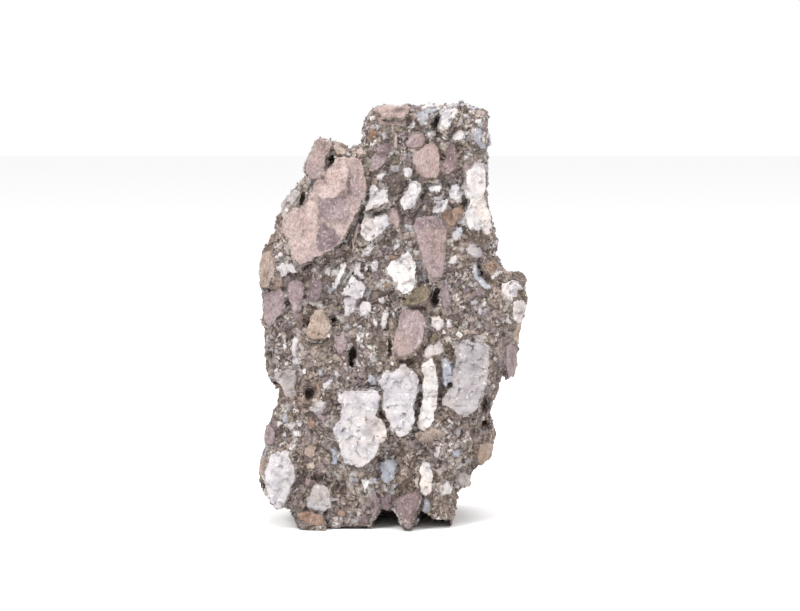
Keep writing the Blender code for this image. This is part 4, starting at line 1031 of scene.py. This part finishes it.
def breccia_material():
    """Breccia, freshly broken and never polished: dull groundmass, dull mauve and rusty rock, glassier quartz."""
    material, tree = new_material("fractured_breccia")
    colours = bpy.context.scene.stone_colours
    seat = add(tree, "ShaderNodeAttribute", attribute_name="seat").outputs["Vector"]
    tint = add(tree, "ShaderNodeAttribute", attribute_name="tint").outputs["Fac"]
    wander = add(tree, "ShaderNodeTexNoise", {"Vector": seat, "Scale": 450.0, "Detail": 3.0})
    bend = add(tree, "ShaderNodeVectorMath", {0: wander.outputs["Color"], 1: (0.5, 0.5, 0.5)}, operation="SUBTRACT")
    bend = add(tree, "ShaderNodeVectorMath", {0: bend.outputs[0], "Scale": WANDER}, operation="SCALE")
    bent = add(tree, "ShaderNodeVectorMath", {0: seat, 1: bend.outputs[0]}, operation="ADD").outputs[0]
    edge_noise = add(tree, "ShaderNodeTexNoise", {"Vector": seat, "Scale": 600.0, "Detail": 3.0})
    ragged_by = add(tree, "ShaderNodeMapRange", {"Value": edge_noise.outputs[0], "From Min": 0.3, "From Max": 0.7,
                                                 "To Min": -0.5, "To Max": 0.5})
    shade = groundmass_shade(tree, seat, bent)
    rocks = (
        ("mauve", clast_shade(tree, seat, tint, colours.mauve, "#8d7b80", "#cdb9b3",
                              (6.0 * MM, "#ffffff", "#c4bcbf"), (1.4 * MM, 0.1, "#cbc1bf"),
                              (7.0 * MM, 0.35, "#cdc2bf"))),
        ("rusty", clast_shade(tree, seat, tint, colours.rusty, "#a68672", "#c4b6ac",
                              (4.5 * MM, "#ffffff", "#c6b8ae"), (1.3 * MM, 0.15, "#d2c6bc"),
                              (4.0 * MM, 0.4, "#7d6a5c"))),
        ("dark", clast_shade(tree, seat, tint, colours.dark, "#5c4e48", "#938a72",
                             (3.0 * MM, "#ffffff", "#aea49c"), (1.2 * MM, 0.3, "#a2988e"),
                             (3.5 * MM, 0.5, "#40352e"))),
        ("smoky", clast_shade(tree, seat, tint, colours.smoky, "#a3a9b5", "#aca39c",
                              (7.0 * MM, "#ffffff", "#b9b8bd"), (2.2 * MM, 0.05, "#e6e5e5"),
                              (6.5 * MM, 0.35, "#938b87"))),
        ("quartz", clast_shade(tree, seat, tint, colours.quartz, "#b4bac6", "#eeeae8",
                               (7.0 * MM, "#ffffff", "#c6c7cf"), (2.4 * MM, 0.1, "#f4f4f5"),
                               (6.5 * MM, 0.35, "#a79f99"))),
    )
    glassy = None
    for name, rock in rocks:
        inside = add(tree, "ShaderNodeAttribute", attribute_name="in_" + name).outputs["Fac"]
        inside = add(tree, "ShaderNodeMath", {0: inside, 1: ragged_by.outputs[0]}, operation="ADD")
        mask = add(tree, "ShaderNodeMapRange", {"Value": inside.outputs[0], "From Min": -0.15, "From Max": 0.15})
        shade = add(tree, "ShaderNodeMix", {0: mask.outputs[0], 6: shade, 7: rock}, data_type="RGBA").outputs[2]
        if name in ("smoky", "quartz"):
            glassy = mask if glassy is None else add(
                tree, "ShaderNodeMath", {0: glassy.outputs[0], 1: mask.outputs[0]}, operation="MAXIMUM")
    streaks = add(tree, "ShaderNodeMapping", {"Vector": seat, "Scale": (1.0, 1.0, 0.6)})
    streak = add(tree, "ShaderNodeTexNoise", {"Vector": streaks.outputs[0], "Scale": 1300.0, "Detail": 4.0})
    streaky = add(tree, "ShaderNodeMapRange", {"Value": glassy.outputs[0], "To Min": 1.0, "To Max": 0.3})
    grainy = add(tree, "ShaderNodeValToRGB", {0: streak.outputs[0]}, stops=[
        (0.3, colour("#c2bbb8")), (0.5, colour("#f0eeed")), (0.7, colour("#ffffff"))])
    shade = add(tree, "ShaderNodeMix", {0: streaky.outputs[0], 6: shade, 7: grainy.outputs[0]},
                data_type="RGBA", blend_type="MULTIPLY").outputs[2]
    zone = add(tree, "ShaderNodeTexNoise", {"Vector": seat, "Scale": 40.0, "Detail": 2.0})
    zoned = add(tree, "ShaderNodeValToRGB", {0: zone.outputs[0]}, stops=[
        (0.38, colour("#e3dde3")), (0.5, colour("#ffffff")), (0.62, colour("#f4e6d8"))])
    shade = add(tree, "ShaderNodeMix", {0: 0.5, 6: shade, 7: zoned.outputs[0]},
                data_type="RGBA", blend_type="MULTIPLY").outputs[2]
    # Painted shade: the hollows, and in patches the crevices at the clasts' rims, are mixed toward dark brown for the
    # shade that falls in them.
    hollow = add(tree, "ShaderNodeAttribute", attribute_name="hollow").outputs["Fac"]
    crevice = add(tree, "ShaderNodeAttribute", attribute_name="crevice").outputs["Fac"]
    where = add(tree, "ShaderNodeTexNoise", {"Vector": seat, "Scale": 200.0, "Detail": 2.0})
    part = add(tree, "ShaderNodeMapRange", {"Value": where.outputs[0], "From Min": 0.46, "From Max": 0.64,
                                            "To Max": 0.9})
    rim = add(tree, "ShaderNodeMath", {0: crevice, 1: part.outputs[0]}, operation="MULTIPLY")
    painted_shade = add(tree, "ShaderNodeMath", {0: hollow, 1: rim.outputs[0]}, operation="MAXIMUM")
    painted_shade = add(tree, "ShaderNodeMath", {0: painted_shade.outputs[0], 1: 0.72}, operation="MULTIPLY")
    shade = add(tree, "ShaderNodeMix", {0: painted_shade.outputs[0], 6: shade, 7: colour("#4c3e36")},
                data_type="RGBA").outputs[2]
    shade = add(tree, "ShaderNodeMix", {0: 1.0, 6: shade, 7: colour(STUDIO_WHITE)},
                data_type="RGBA", blend_type="MULTIPLY").outputs[2]
    roughness = add(tree, "ShaderNodeMapRange", {"Value": glassy.outputs[0], "To Min": 0.82, "To Max": 0.45})
    bump = add(tree, "ShaderNodeBump", {"Height": streak.outputs[0], "Strength": 0.6, "Distance": 0.3 * MM})
    shader = add(tree, "ShaderNodeBsdfPrincipled",
                 {"Base Color": shade, "Roughness": roughness.outputs[0], "Normal": bump.outputs[0]})
    add(tree, "ShaderNodeOutputMaterial", {0: shader.outputs[0]})
    return material


def chip_material(name, shades, roughness):
    """A chip's rock: one of several shades, chip by chip, with fine mottling."""
    material, tree = new_material(name)
    place = add(tree, "ShaderNodeTexCoord").outputs["Object"]
    tint = add(tree, "ShaderNodeAttribute", attribute_name="tint").outputs["Fac"]
    stops = [(i / len(shades), colour(shade)) for i, shade in enumerate(shades)]
    shade = add(tree, "ShaderNodeValToRGB", {0: tint}, stops=stops, stepped=True).outputs[0]
    cloud = add(tree, "ShaderNodeTexNoise", {"Vector": place, "Scale": 900.0, "Detail": 3.0})
    mottle = add(tree, "ShaderNodeValToRGB", {0: cloud.outputs[0]}, stops=[
        (0.35, colour("#b5aca6")), (0.6, colour("#ffffff"))])
    shade = add(tree, "ShaderNodeMix", {0: 0.8, 6: shade, 7: mottle.outputs[0]},
                data_type="RGBA", blend_type="MULTIPLY").outputs[2]
    shade = add(tree, "ShaderNodeMix", {0: 1.0, 6: shade, 7: colour(STUDIO_WHITE)},
                data_type="RGBA", blend_type="MULTIPLY").outputs[2]
    bump = add(tree, "ShaderNodeBump", {"Height": cloud.outputs[0], "Strength": 0.35, "Distance": 0.25 * MM})
    shader = add(tree, "ShaderNodeBsdfPrincipled",
                 {"Base Color": shade, "Roughness": roughness, "Normal": bump.outputs[0]})
    add(tree, "ShaderNodeOutputMaterial", {0: shader.outputs[0]})
    return material


def pale_chip_material():
    """Chips of vein quartz, freshly broken: pale and a little glassy."""
    return chip_material("pale_quartz_chips", ("#cfccc8", "#c3bcb4", "#d4d4d4", "#bdb3a9", "#c6c8cc"), 0.5)


def grey_chip_material():
    """Chips of grey rock, broken and never worn: dull with a faint sheen."""
    return chip_material("grey_rock_chips", ("#a6a09e", "#b0aba6", "#98929a", "#a8acb4", "#8f8882"), 0.65)


def brown_chip_material():
    """Chips of rusty and weathered rock: dull and earthy."""
    return chip_material("brown_rock_chips", ("#8b7b6e", "#988473", "#a28f7c", "#75655b", "#a8937f", "#8c8268"), 0.8)


def mauve_chip_material():
    """Chips of mauve volcanic rock, broken and never worn: dull."""
    return chip_material("mauve_rock_chips", ("#a38f8c", "#8f7b84", "#ad9992", "#9c8783", "#a08b88"), 0.78)


# Stage

def floor_material():
    """Matt white paper: even and without gloss."""
    material, tree = new_material("matt_white_paper")
    shader = add(tree, "ShaderNodeBsdfPrincipled",
                 {"Base Color": (0.93, 0.93, 0.93, 1.0), "Roughness": 0.9, "Specular IOR Level": 0.1})
    add(tree, "ShaderNodeOutputMaterial", {0: shader.outputs[0]})
    return material


class STONE_OT_stage(bpy.types.Operator):
    """Make the pale floor, the soft light and the camera"""
    bl_idname = "stone.stage"
    bl_label = "Stage"

    def execute(self, context):
        scene = context.scene
        deselect()
        bpy.ops.mesh.primitive_plane_add(size=8.0, location=(0.0, 0.0, 0.0))
        floor = context.object
        floor.name = "floor"
        floor.data.materials.append(floor_material())
        world = bpy.data.worlds.new("studio")
        world.use_nodes = True
        background = world.node_tree.nodes["Background"]
        background.inputs["Color"].default_value = (1.0, 1.0, 1.0, 1.0)
        background.inputs["Strength"].default_value = 1.0
        scene.world = world
        for name, place, size, power in (
                ("left_softbox", (-0.8, -0.8, 0.9), 0.5, 14.0),
                ("right_softbox", (1.0, -0.6, 0.6), 0.7, 5.0),
                ("top_softbox", (0.05, -0.25, 1.2), 0.7, 12.0)):
            light = bpy.data.lights.new(name, "AREA")
            light.shape = "SQUARE"
            light.size = size
            light.energy = power
            lamp = bpy.data.objects.new(name, light)
            lamp.location = place
            lamp.rotation_euler = (Vector(place) - Vector((0, 0, 0.1))).to_track_quat("Z", "Y").to_euler()
            scene.collection.objects.link(lamp)
        camera = bpy.data.cameras.new("camera")
        camera.sensor_width = SENSOR
        camera.lens = LENS
        camera.clip_start = 0.01
        eye = bpy.data.objects.new("camera", camera)
        eye.location = CAMERA_PLACE
        eye.rotation_euler = CAMERA_TURN.to_euler()
        scene.collection.objects.link(eye)
        scene.camera = eye
        scene.view_settings.view_transform = "Standard"
        return {"FINISHED"}


class STONE_PT_panel(bpy.types.Panel):
    bl_label = "Breccia viewing stone"
    bl_idname = "STONE_PT_panel"
    bl_space_type = "VIEW_3D"
    bl_region_type = "UI"
    bl_category = "Stone"

    def draw(self, context):
        for group in (context.scene.stone_sizes, context.scene.stone_colours):
            for name in group.bl_rna.properties.keys():
                if name not in ("rna_type", "name"):
                    self.layout.prop(group, name)
        for operator in STEPS:
            self.layout.operator(operator.bl_idname)


STEPS = (STONE_OT_rock_body, STONE_OT_chips, STONE_OT_stage)
CLASSES = (StoneSizes, StoneColours, *STEPS, STONE_PT_panel)


def register():
    for cls in CLASSES:
        bpy.utils.register_class(cls)
    bpy.types.Scene.stone_sizes = PointerProperty(type=StoneSizes)
    bpy.types.Scene.stone_colours = PointerProperty(type=StoneColours)


def unregister():
    del bpy.types.Scene.stone_colours
    del bpy.types.Scene.stone_sizes
    for cls in reversed(CLASSES):
        bpy.utils.unregister_class(cls)


def main():
    register()
    bpy.ops.stone.rock_body()
    bpy.ops.stone.chips()
    bpy.ops.stone.stage()


if __name__ == "__main__":
    main()
